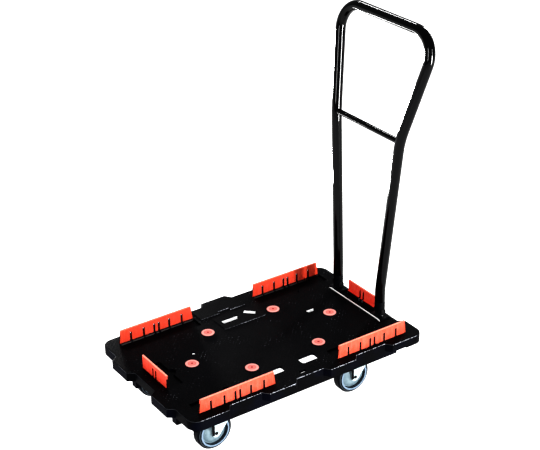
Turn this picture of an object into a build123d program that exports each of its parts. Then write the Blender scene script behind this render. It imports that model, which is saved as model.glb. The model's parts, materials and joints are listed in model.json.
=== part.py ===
from build123d import *
import os
from math import cos, sin, radians

# Folding platform cart. Millimetres, +Z up, +X towards the push handle, +Y towards the side with the
# linking tab. The origin is the centre of the load deck's top face.

os.makedirs("parts", exist_ok=True)

# ---------------------------------------------------------------- driving dimensions

# Deck moulding
deck_length = 720.0          # over the bumper band, without the linking tongues
deck_width = 460.0           # over the bumper band, without the linking tab
deck_depth = 25.0            # from the deck's top to the caster plates, where the ribs end too
bumper_depth = 17.0          # the band stands this far out from the skirt
bumper_height = 22.0
foot_height = 25.0           # the band's corners and the tongues reach lower than its sides
foot_reach = 60.0            # length of a corner's foot along the deck
skirt_height = 41.8
skirt_step_length = 62.0     # the skirt's rear corners are set back by this much along the deck
skirt_step_width = 34.0      # and by this much across it
corner_radius = 29.0
edge_round = 2.5             # top edge of the band
top_skin = 4.0
outer_wall = 4.0
rib_wall = 3.0
rib_pitch = 72.0             # ribs along the deck, from one to the next
rib_lead = 14.0              # the last rib across the deck, ahead of the release bar
ribs_each_way = 4            # ribs across the deck on each side of the middle one
link_slant = 13.0            # how much each linking form narrows over its depth

# Linking forms
hand_notch_inset = 166.0     # finger notches in both long sides, from the deck's ends
hand_notch_width = 107.0
tab_width = 76.0             # side tab at its outer end
tab_depth = 18.0
tongue_centre = 99.0         # two tongues on the front end
tongue_width = 75.0          # at the outer end
link_clearance = 3.0         # between a tongue or tab and the notch it enters
guide_block_offset = 43.0    # blocks beside each tongue, from its middle
guide_block_width = 24.0
guide_block_height = 45.0
tab_pad_height = 1.2         # raised pad on the deck behind the tab
tab_pad_reach = 58.0         # from the deck's long side inwards
tab_pad_ends = (-85.0, 57.0)
tab_pad_inset = (-24.0, 9.0, 10.0)   # the step in its inner edge: ends and depth
panel_height = 1.0           # raised panel with the two far lashing holes
panel_middle = 8.0           # along the deck
panel_inset = 104.0          # its middle, from the deck's far side
panel_size = (134.0, 68.0)
panel_corner = 7.0
hook_room = 44.0             # free of ribs beside each lashing hole

# Stop flaps
long_flap_length = 225.0
long_flap_taper = 5.5        # each end leans in by this much at the top edge
short_flap_length = 118.0
flap_height = 38.0           # above the deck when upright
flap_thickness = 4.5
flap_barrel_radius = 4.6
flap_axis_depth = 4.8        # hinge axis below the deck's top
flap_pin_radius = 1.5
flap_play = 0.4              # between a flap and its pocket
flap_side_inset = 35.3       # hinge axis of the long flaps from the deck's sides
flap_end_inset = 150.5       # middle of a long flap from the deck's ends
flap_front_inset = 34.6      # hinge axis of the front flap from the deck's front
flap_rear_inset = 31.0       # hinge axis of the rear flap from the deck's rear
rear_flap_raise = 8.1        # the rear flap folds over the release bar
rear_flap_height = 32.0
flap_slot_width = 4.4
flap_slot_height = 24.0      # top of the slots above the deck
flap_tongue_slots = 7.0      # the two middle slots, each side of the spring tongue
flap_web_slots = (39.0, 78.0)
flap_cam_reach = 6.9         # tip of the tongue's cam from the hinge axis
flap_cam_width = 4.4
flap_window_width = 44.0     # opening in front of the cam
flap_pin_grip = 4.0          # how far a pin goes into the deck past the flap's end
flap_pin_cover = 1.0         # deck wall beyond the pin's end
flap_floor_play = 0.3        # under the raised rear flap when it lies down
web_relief = 0.3             # the pin webs end this far below the deck's top
finger_scoop_radius = 13.0

# Grip discs
disc_radius = 17.5
disc_thickness = 5.0
disc_proud = 2.5
disc_ring_radius = 11.0      # moulded ring on top of a disc
disc_ring_width = 1.2
disc_ring_depth = 0.8
disc_dimple_radius = 2.6
disc_dimple_depth = 1.2
disc_edge = 0.8              # chamfer round the top
disc_inner = 105.0           # four discs stand on this square
disc_end_inset = 140.5       # two discs on the centre line, from the deck's ends
disc_play = 0.3

# Handle
tube_radius = 14.0
tube_wall = 1.6
leg_inset = 41.8             # both feet stand this far in from the deck's rear
leg_y = 93.0                 # each foot from the centre line
pivot_height = 20.0          # handle pivot above the deck
straight_height = 84.0       # top of the legs' upright stretch
knee_height = 522.0
knee_back = 20.8             # the knee is this far behind the feet
knee_out = 39.5              # and this far further out
grip_height = 801.3          # centre of the top bar
grip_back = 61.2             # the grip is this far behind the knee
grip_out = 61.2              # and this far further out
foot_bend = 290.0
knee_bend = 275.0
grip_bend = 65.0
crossbar_height = 520.0
crossbar_radius = 8.0
foot_collar_height = 28.0    # clevis above the pivot, up to the tube's end
foot_notch_height = 3.0      # notch over the latch nose
foot_spigot_length = 18.0
foot_spigot_play = 0.1

# Handle bracket and pivot
lug_thickness = 8.0
lug_radius = 13.0
lug_stop_rise = 2.7          # square shoulder that stops the handle upright, above the lug's round
lug_stop_relief = 0.5
lug_play = 0.3
pivot_radius = 5.0
pivot_play = 0.05
pivot_head_radius = 8.0
pivot_head_height = 3.0
flange_length = 33.0         # along X
flange_width = 49.0          # along Y
flange_lead = 13.2           # the flange starts this far ahead of the pivot
flange_seat_depth = 1.0      # the flange stands in a shallow seat in the deck
flange_play = 0.3
flange_top = 5.0             # above the deck
flange_corner = 5.0
flange_edge = 1.0            # chamfer round its top
flange_pad_depth = 12.0      # solid deck under the flange
screw_spacing = 36.0
screw_radius = 3.0
screw_head_radius = 6.0
screw_length = 22.0
nut_height = 5.0
nut_across = 10.0
nut_access_radius = 8.0      # free space in the ribs round each nut

# Release bar, latch plates, return springs
bar_radius = 2.5
bar_lead = 16.2              # the release bar is this far ahead of the feet
bar_arm_y = 115.0
bar_rise = 0.5               # centre of the bar above the deck's top
bar_bend = 10.0
bar_travel = 4.0
bar_play = 0.5
guide_bottom = 21.7          # the arms' guide bosses end this far below the deck's top
guide_radius = 6.5
latch_gap = 0.3
latch_thickness = 3.0
latch_width = 10.0
nose_length = 5.0
nose_offset = 9.0            # latch nose from the middle of its leg
strip_thickness = 2.5
strip_width = 22.0
strip_bottom = 40.0
strip_boss_y = 94.0
strip_boss_radius = 5.5
strip_screw_radius = 2.2
strip_screw_length = 14.0
strip_screw_head = 2.5       # height of its head
spring_radius = 5.2
spring_wire = 1.2            # the springs are coiled from square wire
spring_turns = 3
spring_play = 0.1            # at each end of a spring

# Casters
caster_end_inset = 142.0     # swivel axis from the deck's ends
caster_side_inset = 85.0     # and from its sides
caster_trail = 36.0          # the axle is this far from the swivel axis, towards -X
plate_length = 104.0
plate_width = 80.0
plate_thickness = 3.0
plate_corner = 8.0
bolt_spacing_x = 80.0
bolt_spacing_y = 58.0
bolt_radius = 4.0
bolt_length = 18.0
bolt_boss_radius = 8.8       # boss in the deck round each bolt
bolt_bore_spare = 1.0        # the bore goes on past the bolt's end
bolt_hole_play = 0.5
bolt_head_height = 5.5
bolt_head_across = 13.0
collar_radius = 27.0         # pressed dome of the plate, seat of the upper balls
collar_height = 5.0
collar_taper = 3.0           # it is narrower by this much at its lower end
kingpin_radius = 6.0
kingpin_head_radius = 11.0
kingpin_head_height = 4.0
kingpin_play = 0.08
race_gap = 0.4
fork_thickness = 2.5
fork_inside = 35.5           # between the fork's legs
fork_crown_radius = 29.0
fork_crown_front = 26.1      # where the legs meet the crown, ahead of the swivel axis
fork_crown_rear = 27.5       # and behind it
fork_tip_radius = 12.0
fork_tip_angle = 34.0        # the leg's rear edge meets the tip's round this far below level, in degrees
fork_skirt = 6.0             # turned-down lip of the crown
fork_lead = 13.0             # the legs' front edge, ahead of the axle
guard_width = 7.4            # black guard on each leg's front edge
guard_depth = 2.5            # it stands this far out from the leg
guard_drop = 4.5             # its lower end, below the axle
guard_corner = 1.5
wheel_radius = 50.0
wheel_headroom = 19.1        # between the wheel and the fork's crown
wheel_width = 30.0
tyre_thickness = 9.0
tyre_bead = 4.5              # the tread's side slopes back from the rim over this much
tyre_bead_drop = 2.3         # and is this far back there
tyre_shoulder = 6.0          # and this far back at the tread
rim_width = 4.2              # bright ring of the rim, across
rim_depth = 10.0             # web recess below the rim's face
rim_slope = 1.0              # the recess narrows by this much over its depth
dish_radius = 33.0
hub_radius = 14.0
sleeve_radius = 6.0
sleeve_play = 0.05
axle_radius = 3.0
axle_head_radius = 4.5
axle_head_height = 2.5
axle_nut_height = 5.0
axle_nut_across = 10.0
axle_thread_end = 2.0        # thread beyond the nut
above = 5.0                  # cuts from the top start this far above the deck
overcut = 1.0                # and other cuts run this far past the surface
root = 1.0                   # joined forms reach this far into each other

# ---------------------------------------------------------------- values worked out from them

half_length = deck_length / 2
half_width = deck_width / 2
hand_notch_centre = half_length - hand_notch_inset
flap_side_line = half_width - flap_side_inset
flap_long_centre = half_length - flap_end_inset
flap_front_line = half_length - flap_front_inset
flap_rear_line = half_length - flap_rear_inset
disc_outer = half_length - disc_end_inset
leg_x = half_length - leg_inset
bar_x = leg_x - bar_lead
caster_x = half_length - caster_end_inset
caster_y = half_width - caster_side_inset
skirt_length = deck_length - 2 * bumper_depth
skirt_width = deck_width - 2 * bumper_depth
skirt_radius = corner_radius - bumper_depth
plate_top = -deck_depth
rib_height = deck_depth
crown_top = plate_top - plate_thickness - collar_height - race_gap
crown_bottom = crown_top - fork_thickness
axle_height = crown_bottom - wheel_headroom - wheel_radius
handle_pivot = (leg_x, leg_y, pivot_height)


def write(node, shape):
    """One STEP file per node; a list of solids is written as a group of separate solids."""
    if isinstance(shape, (list, tuple)):
        shape = Compound(children=[part for piece in shape for part in piece.solids()])
    export_step(shape, f"parts/{node}.step")
    print(node, len(shape.solids()), "solids")


def span(x, y, z):
    """A box given by its limits along each axis."""
    size = [high - low for low, high in (x, y, z)]
    middle = [(low + high) / 2 for low, high in (x, y, z)]
    return Pos(*middle) * Box(*size)


def drum(radius, low, high, x=0.0, y=0.0):
    """An upright cylinder between two heights."""
    return Pos(x, y, (low + high) / 2) * Cylinder(radius, high - low)


def rod_y(radius, y_low, y_high, x=0.0, z=0.0):
    """A cylinder along Y between two places."""
    return Pos(x, (y_low + y_high) / 2, z) * Rot(90, 0, 0) * Cylinder(radius, y_high - y_low)


def rod_x(radius, x_low, x_high, y=0.0, z=0.0):
    """A cylinder along X between two places."""
    return Pos((x_low + x_high) / 2, y, z) * Rot(0, 90, 0) * Cylinder(radius, x_high - x_low)


def trapezoid(inner_width, outer_width, depth):
    """A form that stands on y = 0 and changes width over its depth."""
    a, b = inner_width / 2, outer_width / 2
    return make_face(Polyline((-a, 0), (-b, depth), (b, depth), (a, 0), close=True))


def prism(sketch, low, high):
    """A plan shape raised between two heights."""
    return Pos(0, 0, low) * extrude(sketch, high - low)


# ---------------------------------------------------------------- deck outline

def band_outline():
    """Plan of the bumper band with its notches, tongues and tab."""
    band = RectangleRounded(deck_length, deck_width, corner_radius)
    narrow = 2 * link_slant
    hand_notch = trapezoid(hand_notch_width + narrow / 2, hand_notch_width - narrow / 2, bumper_depth)
    socket_width = tab_width + narrow + 2 * link_clearance
    tab_socket = trapezoid(socket_width, socket_width - narrow, bumper_depth)
    rear_width = 2 * tongue_centre + tongue_width + narrow + 2 * link_clearance
    rear_socket = trapezoid(rear_width, rear_width - narrow, bumper_depth)
    for side in (-1, 1):
        turn = 0 if side < 0 else 180
        for end in (-1, 1):
            place = Pos(end * hand_notch_centre, side * half_width) * Rot(0, 0, turn)
            band -= place * hand_notch
    band -= Pos(0, -half_width) * tab_socket
    band -= Pos(half_length, 0) * Rot(0, 0, 90) * rear_socket
    tab = trapezoid(tab_width + narrow, tab_width, tab_depth)
    band += Pos(0, half_width) * tab
    tongue = trapezoid(tongue_width + narrow, tongue_width, bumper_depth)
    for side in (-1, 1):
        band += Pos(-half_length, side * tongue_centre) * Rot(0, 0, 90) * tongue
    return band


def skirt_outline():
    """Plan of the lower wall, set back at the rear corners."""
    skirt = RectangleRounded(skirt_length, skirt_width, skirt_radius)
    for side in (-1, 1):
        step = RectangleRounded(2 * skirt_step_length, 2 * skirt_step_width, skirt_radius)
        skirt -= Pos(skirt_length / 2, side * skirt_width / 2) * step
    return skirt


def tab_pad():
    """Low raised pad that runs out over the side tab."""
    low, high = tab_pad_ends
    step_low, step_high, step_depth = tab_pad_inset
    inner, outer = half_width - tab_pad_reach, half_width + tab_depth
    plan = Pos((low + high) / 2, (inner + outer) / 2) * Rectangle(high - low, outer - inner)
    plan -= Pos((step_low + step_high) / 2, inner) * Rectangle(step_high - step_low, 2 * step_depth)
    plan &= offset(band_outline(), -edge_round - overcut)
    pad = prism(plan, -top_skin / 2, tab_pad_height)
    return chamfer(pad.edges().group_by(Axis.Z)[-1], tab_pad_height / 2)


def lashing_panel():
    """Low raised panel round the two far lashing holes."""
    plan = Pos(panel_middle, half_width - panel_inset) * RectangleRounded(*panel_size, panel_corner)
    panel = prism(plan, -top_skin / 2, panel_height)
    return chamfer(panel.edges().group_by(Axis.Z)[-1], panel_height / 2)


def guide_blocks():
    """Hollow blocks under the front band, one on each side of each tongue."""
    inner = skirt_length / 2 - outer_wall
    blocks = []
    for middle in (-tongue_centre, tongue_centre):
        for side in (-1, 1):
            y = middle + side * guide_block_offset
            half = guide_block_width / 2
            block = span((-half_length, -inner), (y - half, y + half), (-guide_block_height, -top_skin / 2))
            block = fillet(block.edges().filter_by(Axis.Z), rib_wall)
            hollow = half - rib_wall
            block -= span((-half_length + rib_wall, -inner - rib_wall), (y - hollow, y + hollow),
                          (-guide_block_height, -top_skin))
            blocks.append(block)
    return blocks


# ---------------------------------------------------------------- stop flaps

# name, length, taper, height, place of the hinge axis, turn about Z, height of the hinge axis
flap_places = []
for side, side_name, turn in ((1, "far", 0), (-1, "near", 180)):
    for end, end_name in ((-1, "front"), (1, "rear")):
        place = (end * flap_long_centre, side * flap_side_line)
        flap_places.append((f"flap_{side_name}_{end_name}", long_flap_length, long_flap_taper, flap_height,
                            flap_web_slots, place, turn, -flap_axis_depth))
flap_places.append(("flap_front", short_flap_length, 0.0, flap_height, (), (-flap_front_line, 0), 90,
                    -flap_axis_depth))
flap_places.append(("flap_rear", short_flap_length, 0.0, rear_flap_height, (), (flap_rear_line, 0), -90,
                    rear_flap_raise - flap_axis_depth))


def flap_slots(web_slots):
    """Middles of all slots along one flap."""
    offsets = (flap_tongue_slots,) + tuple(web_slots)
    return [sign * offset for offset in offsets for sign in (-1, 1)]


def flap(length, taper, rise, web_slots):
    """A flap about its hinge axis: X along it, Y outwards, Z up."""
    top = rise + flap_axis_depth
    half = length / 2
    face = make_face(Polyline((-half, 0), (-half + taper, top), (half - taper, top), (half, 0), close=True))
    plate = Pos(0, flap_barrel_radius, 0) * Rot(90, 0, 0) * extrude(face, flap_thickness)
    ridge = plate.edges().filter_by(Axis.X).group_by(Axis.Z)[-1]
    plate = fillet(ridge, flap_thickness / 3)
    body = plate + rod_x(flap_barrel_radius, -half, half)
    slot_half = flap_slot_width / 2
    slot_top = flap_slot_height + flap_axis_depth
    for middle in flap_slots(web_slots):
        reach = flap_barrel_radius + overcut
        body -= span((middle - slot_half, middle + slot_half), (-reach, reach), (-reach, slot_top))
    tongue_half = flap_tongue_slots - slot_half
    cam = span((-tongue_half, tongue_half), (-flap_cam_width / 2, flap_cam_width / 2), (-flap_cam_reach, 0))
    cam = chamfer(cam.edges().filter_by(Axis.X).group_by(Axis.Z)[0], flap_cam_width / 4)
    body += cam
    body -= rod_x(flap_pin_radius + pivot_play, -half, half)
    return body


def flap_pin(length):
    """The steel pin of one flap, along X."""
    return rod_x(flap_pin_radius, -length / 2 - flap_pin_grip, length / 2 + flap_pin_grip)


def flap_place(place, turn, height):
    """Where a flap's own frame lies on the deck."""
    return Pos(place[0], place[1], height) * Rot(0, 0, turn)


def flap_tray(length, axis_depth):
    """Solid deck under one flap, before its pocket is cut."""
    half = length / 2 + flap_play + flap_pin_grip + flap_pin_cover
    out = flap_cam_reach + flap_play + outer_wall / 2
    low = -flap_barrel_radius - flap_play - outer_wall / 2
    inward = -(flap_height + flap_axis_depth + flap_play + outer_wall / 2)
    top = axis_depth - top_skin / 2
    floor = -flap_play - outer_wall / 2
    tray = span((-half, half), (inward, out), (floor, top)) if top > floor else None
    trough = span((-half, half), (-out, out), (low, top)) if top > low else None
    cup_half = flap_window_width / 2 + outer_wall / 2
    cup = span((-cup_half, cup_half), (-out, out), (-flap_cam_reach - flap_play - outer_wall / 2, top))
    return [piece for piece in (tray, trough, cup) if piece is not None]


def flap_pocket(length, axis_depth):
    """The space one flap needs in the deck, lying and upright."""
    half = length / 2 + flap_play
    reach = flap_barrel_radius + flap_play
    high = axis_depth + overcut
    bottom = -reach
    cuts = [span((-half, half), (-reach, reach), (bottom, high))]
    cam_reach = flap_cam_reach + flap_play
    window_half = flap_window_width / 2
    cuts.append(span((-window_half, window_half), (-cam_reach, cam_reach), (-cam_reach, high)))
    if axis_depth > 0:
        inward = -(flap_height + flap_axis_depth + flap_play)
        cuts.append(span((-half, half), (inward, 0), (-flap_floor_play, high)))
        cuts.append(Pos(0, inward, 0) * drum(finger_scoop_radius, -flap_floor_play, high))
    return cuts


def flap_webs(web_slots, high):
    """Deck webs that stand in the flap's slots and hold its pin."""
    half = (flap_slot_width - 2 * flap_play) / 2
    webs = []
    for middle in flap_slots(web_slots):
        at_cam = abs(middle) == flap_tongue_slots
        reach = (flap_cam_reach if at_cam else flap_barrel_radius) + flap_play
        webs.append(span((middle - half, middle + half), (-reach, reach), (-reach, high)))
    return webs


# ---------------------------------------------------------------- deck moulding

disc_centres = [(x, y) for x in (-disc_inner, disc_inner) for y in (-disc_inner, disc_inner)]
disc_centres += [(-disc_outer, 0), (disc_outer, 0)]
caster_centres = [(x, y) for x in (-caster_x, caster_x) for y in (-caster_y, caster_y)]
bolt_offsets = [(x, y) for x in (-bolt_spacing_x / 2, bolt_spacing_x / 2)
                for y in (-bolt_spacing_y / 2, bolt_spacing_y / 2)]

# Lashing holes through the top skin: place along the deck, side, distance from that side, length, width, turn
lashing_holes = (
    (-20.0, 1, 104.0, 50.0, 12.0, 0),
    (44.0, 1, 101.0, 34.0, 12.0, -45),
    (185.0, 1, 190.0, 24.0, 10.0, 0),
    (38.0, -1, 80.0, 52.0, 30.0, 0),
    (-60.0, -1, 79.0, 40.0, 26.0, 0),
    (-9.4, -1, 37.0, 20.0, 10.0, 0),
)
drain_hole = (-189.0, 42.0, 5.0)


def hook_bays():
    """Room beside each hole, where the ribs are left out so that a strap's hook can be turned in."""
    low, high = -rib_height - overcut, -top_skin
    bays = []
    for x, side, inset, length, width, turn in lashing_holes:
        y = side * (half_width - inset)
        bays.append(span((x - length / 2, x + length / 2 + hook_room),
                         (y - width / 2, y + width / 2 + hook_room), (low, high)))
    x, y, radius = drain_hole
    bays.append(span((x - radius, x + hook_room), (y - radius, y + hook_room), (low, high)))
    return bays


def deck_ribs():
    """Grid of ribs under the top skin, out to the skirt."""
    grid = []
    low, high = -rib_height, -top_skin / 2
    pitch_x = (bar_x - rib_lead) / ribs_each_way
    reach_x = skirt_length / 2 - root
    reach_y = skirt_width / 2 - root
    for i in range(-ribs_each_way, ribs_each_way + 1):
        x = i * pitch_x
        grid.append(span((x - rib_wall / 2, x + rib_wall / 2), (-reach_y, reach_y), (low, high)))
    lines_y = int(skirt_width / 2 / rib_pitch)
    for i in range(-lines_y, lines_y + 1):
        y = i * rib_pitch
        grid.append(span((-reach_x, reach_x), (y - rib_wall / 2, y + rib_wall / 2), (low, high)))
    for bay in hook_bays():
        grid = [piece for rib in grid for piece in (rib - bay).solids()]
    return grid


def caster_pads():
    """Solid pads over the caster plates, with a boss for each bolt."""
    pads = []
    for x, y in caster_centres:
        pad = RectangleRounded(plate_length, plate_width, plate_corner)
        core = offset(pad, -2 * outer_wall)
        frame = prism(pad - core, plate_top, -top_skin / 2) + prism(pad, plate_top, plate_top + top_skin)
        for bolt_x, bolt_y in bolt_offsets:
            frame += drum(bolt_boss_radius, plate_top, -top_skin / 2, bolt_x, bolt_y)
        pads.append(Pos(x, y, 0) * frame)
    return pads


def deck():
    """The one-piece moulded deck."""
    band = band_outline()
    skirt = skirt_outline()
    feet = band - Rectangle(deck_length - 2 * foot_reach, 2 * deck_width)
    body = prism(band, -bumper_height, 0) + prism(feet, -foot_height, 0) + prism(skirt, -skirt_height, 0)
    rim = body.edges().group_by(Axis.Z)[-1]
    body = fillet(rim, edge_round)
    body -= prism(offset(skirt, -outer_wall), -skirt_height, -top_skin)
    band_core = offset(band, -outer_wall) - skirt
    body -= prism(band_core, -foot_height, -top_skin)

    added = deck_ribs() + caster_pads() + guide_blocks() + [tab_pad(), lashing_panel()]
    cut = []
    for x, y in disc_centres:
        seat = disc_thickness - disc_proud
        added.append(drum(disc_radius + disc_play + rib_wall, -seat - rib_wall, -top_skin / 2, x, y))
        cut.append(drum(disc_radius + disc_play, -seat, above, x, y))
    for name, length, taper, rise, web_slots, place, turn, height in flap_places:
        at = flap_place(place, turn, height)
        added += [at * piece for piece in flap_tray(length, -height)]
        cut += [at * piece for piece in flap_pocket(length, -height)]

    # handle end: pads under the brackets, guides for the release bar, bosses for the keeper strip
    for side in (-1, 1):
        y = side * leg_y
        pad_half = flange_width / 2 + outer_wall / 2
        added.append(span((bar_x - guide_radius, skirt_length / 2 - root), (y - pad_half, y + pad_half),
                          (-flange_pad_depth, -root)))
        added.append(drum(guide_radius, -guide_bottom, -root, bar_x, side * bar_arm_y))
        boss_low = strip_thickness - strip_bottom
        added.append(drum(strip_boss_radius, boss_low, -root, bar_x, side * strip_boss_y))
        cut.append(drum(strip_screw_radius, -strip_bottom, -flange_pad_depth, bar_x, side * strip_boss_y))
        cut.append(drum(bar_radius + bar_play, -guide_bottom - overcut, above, bar_x, side * bar_arm_y))
        cut.append(prism(flange_outline(side, flange_play), -flange_seat_depth, above))
        for step in (-1, 1):
            screw_y = y + step * screw_spacing / 2
            cut.append(drum(screw_radius + pivot_play, -flange_pad_depth - overcut, above, leg_x, screw_y))
            cut.append(drum(nut_access_radius, -rib_height - overcut, -flange_pad_depth, leg_x, screw_y))
        nose_y = side * (leg_y + nose_offset)
        cut.append(span((leg_x - nose_length / 2 - bar_play, leg_x + nose_length / 2 + bar_play),
                        (nose_y - latch_thickness / 2 - bar_play, nose_y + latch_thickness / 2 + bar_play),
                        (-flange_pad_depth - overcut, above)))
    groove_depth = bar_radius + bar_travel + bar_play - bar_rise
    groove_half = bar_radius + bar_play
    bend_depth = bar_bend + bar_travel - bar_rise
    for side in (-1, 1):
        low, high = sorted((side * (bar_arm_y - bar_bend), side * bar_arm_y))
        cut.append(span((bar_x - groove_half, bar_x + groove_half), (low, high), (-bend_depth, above)))
    added.append(span((bar_x - guide_radius, bar_x + guide_radius), (-bar_arm_y, bar_arm_y),
                      (-groove_depth - rib_wall, -root)))
    cut.append(span((bar_x - groove_half, bar_x + groove_half),
                    (-bar_arm_y - groove_half, bar_arm_y + groove_half), (-groove_depth, above)))

    for x, side, inset, length, width, turn in lashing_holes:
        hole = RectangleRounded(length, width, width / 4)
        collar = offset(hole, rib_wall)
        at = Pos(x, side * (half_width - inset), 0) * Rot(0, 0, turn)
        added.append(at * prism(collar, -top_skin - rib_wall, -root))
        cut.append(at * prism(hole, -rib_height - overcut, above))
    cut.append(drum(drain_hole[2], -rib_height - overcut, above, drain_hole[0], drain_hole[1]))
    bore_low, bore_high = plate_top - overcut, plate_top + bolt_length
    for x, y in caster_centres:
        for bolt_x, bolt_y in bolt_offsets:
            cut.append(drum(bolt_radius, bore_low, bore_high, x + bolt_x, y + bolt_y))

    body = body + added
    body = body - cut

    # what stands in the pockets: pin webs, and the ears of the raised rear flap
    webs = []
    pin_holes = []
    for name, length, taper, rise, web_slots, place, turn, height in flap_places:
        at = flap_place(place, turn, height)
        web_top = min(-height, flap_barrel_radius) - web_relief if height < 0 else flap_barrel_radius
        webs += [at * web for web in flap_webs(web_slots, web_top)]
        if height > -flap_barrel_radius:
            for end in (-1, 1):
                inner = end * (length / 2 + flap_play)
                outer = end * (length / 2 + flap_play + flap_pin_grip + flap_pin_cover)
                ear = span((min(inner, outer), max(inner, outer)),
                           (-flap_barrel_radius, flap_barrel_radius), (-height - root, flap_barrel_radius))
                ear = fillet(ear.edges().filter_by(Axis.X).group_by(Axis.Z)[-1], flap_barrel_radius - root)
                webs.append(at * ear)
        grip = length + 2 * flap_pin_grip
        pin_holes.append(at * rod_x(flap_pin_radius, -grip / 2, grip / 2))
    body = body + webs
    body = body - pin_holes
    return body


# ---------------------------------------------------------------- grip discs

def grip_disc():
    """One round grip disc with a ring groove and a dimple, standing proud of the deck."""
    seat = disc_thickness - disc_proud
    disc = drum(disc_radius, -seat, disc_proud)
    disc = chamfer(disc.edges().group_by(Axis.Z)[-1], disc_edge)
    groove = drum(disc_ring_radius, disc_proud - disc_ring_depth, above)
    groove -= drum(disc_ring_radius - disc_ring_width, 0, above)
    return disc - groove - drum(disc_dimple_radius, disc_proud - disc_dimple_depth, above)


# ---------------------------------------------------------------- handle

def handle_path():
    """Centre line of the bent tube, from one tube end round the grip to the other."""
    start = pivot_height + foot_collar_height
    side = [(leg_x, leg_y, start),
            (leg_x, leg_y, straight_height),
            (leg_x + knee_back, leg_y + knee_out, knee_height),
            (leg_x + knee_back + grip_back, leg_y + knee_out + grip_out, grip_height)]
    points = side + [(x, -y, z) for x, y, z in reversed(side)]
    return FilletPolyline(*points, radius=[foot_bend, knee_bend, grip_bend, grip_bend, knee_bend, foot_bend])


def handle_tubes():
    """The bent tube, and the crossbar coped to sit against it."""
    path = handle_path()
    start = Plane(origin=path @ 0, z_dir=path % 0)
    outer = sweep(start * Circle(tube_radius), path=path)
    bore = sweep(start * Circle(tube_radius - tube_wall), path=path)
    tube = outer - bore
    share = (crossbar_height - straight_height) / (knee_height - straight_height)
    bar_y = leg_y + knee_out * share
    crossbar = rod_y(crossbar_radius, -bar_y, bar_y, leg_x + knee_back * share, crossbar_height) - outer
    crossbar = crossbar.solids().sort_by(SortBy.VOLUME)[-1]
    return tube, crossbar


def handle_foot(side):
    """Clevis pressed into a tube end, rounded below so that it turns clear of the bracket."""
    reach = tube_radius + overcut
    foot = rod_y(tube_radius, -tube_radius, tube_radius) & drum(tube_radius, -tube_radius, 0)
    foot += drum(tube_radius, 0, foot_collar_height)
    spigot = tube_radius - tube_wall - foot_spigot_play
    foot += drum(spigot, foot_collar_height, foot_collar_height + foot_spigot_length)
    slot_half = lug_thickness / 2 + lug_play
    slot_top = lug_radius + lug_stop_rise + lug_play
    foot -= span((-reach, reach), (-slot_half, slot_half), (-reach, slot_top))
    foot -= rod_y(pivot_radius + pivot_play, -reach, reach)
    notch_half = nose_length / 2 + bar_play
    notch_low = nose_offset - latch_thickness / 2 - bar_play
    foot -= span((-notch_half, notch_half), (notch_low, reach), (-reach, foot_notch_height - tube_radius))
    if side < 0:
        foot = mirror(foot, about=Plane.XZ)
    x, y, z = handle_pivot
    return Pos(x, side * y, z) * foot


def flange_outline(side, play=0.0):
    """Plan of a bracket's flange, grown by the play of its seat."""
    plan = RectangleRounded(flange_length + 2 * play, flange_width + 2 * play, flange_corner + play)
    return Pos(leg_x - flange_lead + flange_length / 2, side * leg_y) * plan


def handle_bracket(side):
    """Flange on the deck with the upright lug that carries the pivot."""
    x, y, z = handle_pivot
    flange = prism(flange_outline(1), -flange_seat_depth, flange_top)
    flange = chamfer(flange.edges().group_by(Axis.Z)[-1], flange_edge)
    half = lug_thickness / 2
    lug = rod_y(lug_radius, y - half, y + half, x, z)
    lug += span((x - lug_radius, x + lug_radius), (y - half, y + half), (flange_top - root, z))
    lug += span((x, x + lug_radius - lug_stop_relief), (y - half, y + half),
                (z, z + lug_radius + lug_stop_rise))
    bracket = flange + lug
    bracket -= rod_y(pivot_radius, y - half - overcut, y + half + overcut, x, z)
    nose_y = y + nose_offset
    bracket -= span((x - nose_length / 2 - bar_play, x + nose_length / 2 + bar_play),
                    (nose_y - latch_thickness / 2 - bar_play, nose_y + latch_thickness / 2 + bar_play),
                    (-flange_seat_depth - overcut, flange_top + overcut))
    for step in (-1, 1):
        at = Pos(x, y + step * screw_spacing / 2, flange_top)
        bracket -= at * CounterSinkHole(screw_radius + pivot_play, screw_head_radius, 2 * flange_top)
    return bracket if side > 0 else mirror(bracket, about=Plane.XZ)


def pivot_pin(side):
    """Riveted pivot pin, straight through clevis and lug."""
    x, y, z = handle_pivot
    y = side * y
    inner = tube_radius + lug_play
    pin = rod_y(pivot_radius, y - inner, y + inner, x, z)
    for end in (-1, 1):
        low, high = sorted((y + end * inner, y + end * (inner + pivot_head_height)))
        head = rod_y(pivot_head_radius, low, high, x, z)
        outer_edge = head.edges().sort_by(Axis.Y)[-1 if end > 0 else 0]
        pin += chamfer(outer_edge, pivot_head_height / 2)
    return pin


def bracket_screw(x, y):
    """Countersunk screw that holds a bracket, and its nut under the deck."""
    head = Pos(x, y, flange_top) * Cone(screw_radius, screw_head_radius, screw_head_radius - screw_radius,
                                        align=(Align.CENTER, Align.CENTER, Align.MAX))
    return head + drum(screw_radius, flange_top - screw_length, flange_top - root, x, y)


def hex_drum(across, low, high, x, y, bore=0.0):
    """A hexagon head or nut, with its bore."""
    plan = RegularPolygon(across / 2, 6, major_radius=False)
    if bore:
        plan -= Circle(bore)
    return Pos(x, y, 0) * prism(plan, low, high)


# ---------------------------------------------------------------- release bar and latch

def release_bar():
    """Bent rod across the deck whose arms go down through their guides."""
    low = strip_bottom - strip_thickness + overcut
    points = [(bar_x, -bar_arm_y, -low), (bar_x, -bar_arm_y, bar_rise),
              (bar_x, bar_arm_y, bar_rise), (bar_x, bar_arm_y, -low)]
    path = FilletPolyline(*points, radius=bar_bend)
    return sweep(Plane(origin=path @ 0, z_dir=path % 0) * Circle(bar_radius), path=path)


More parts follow.
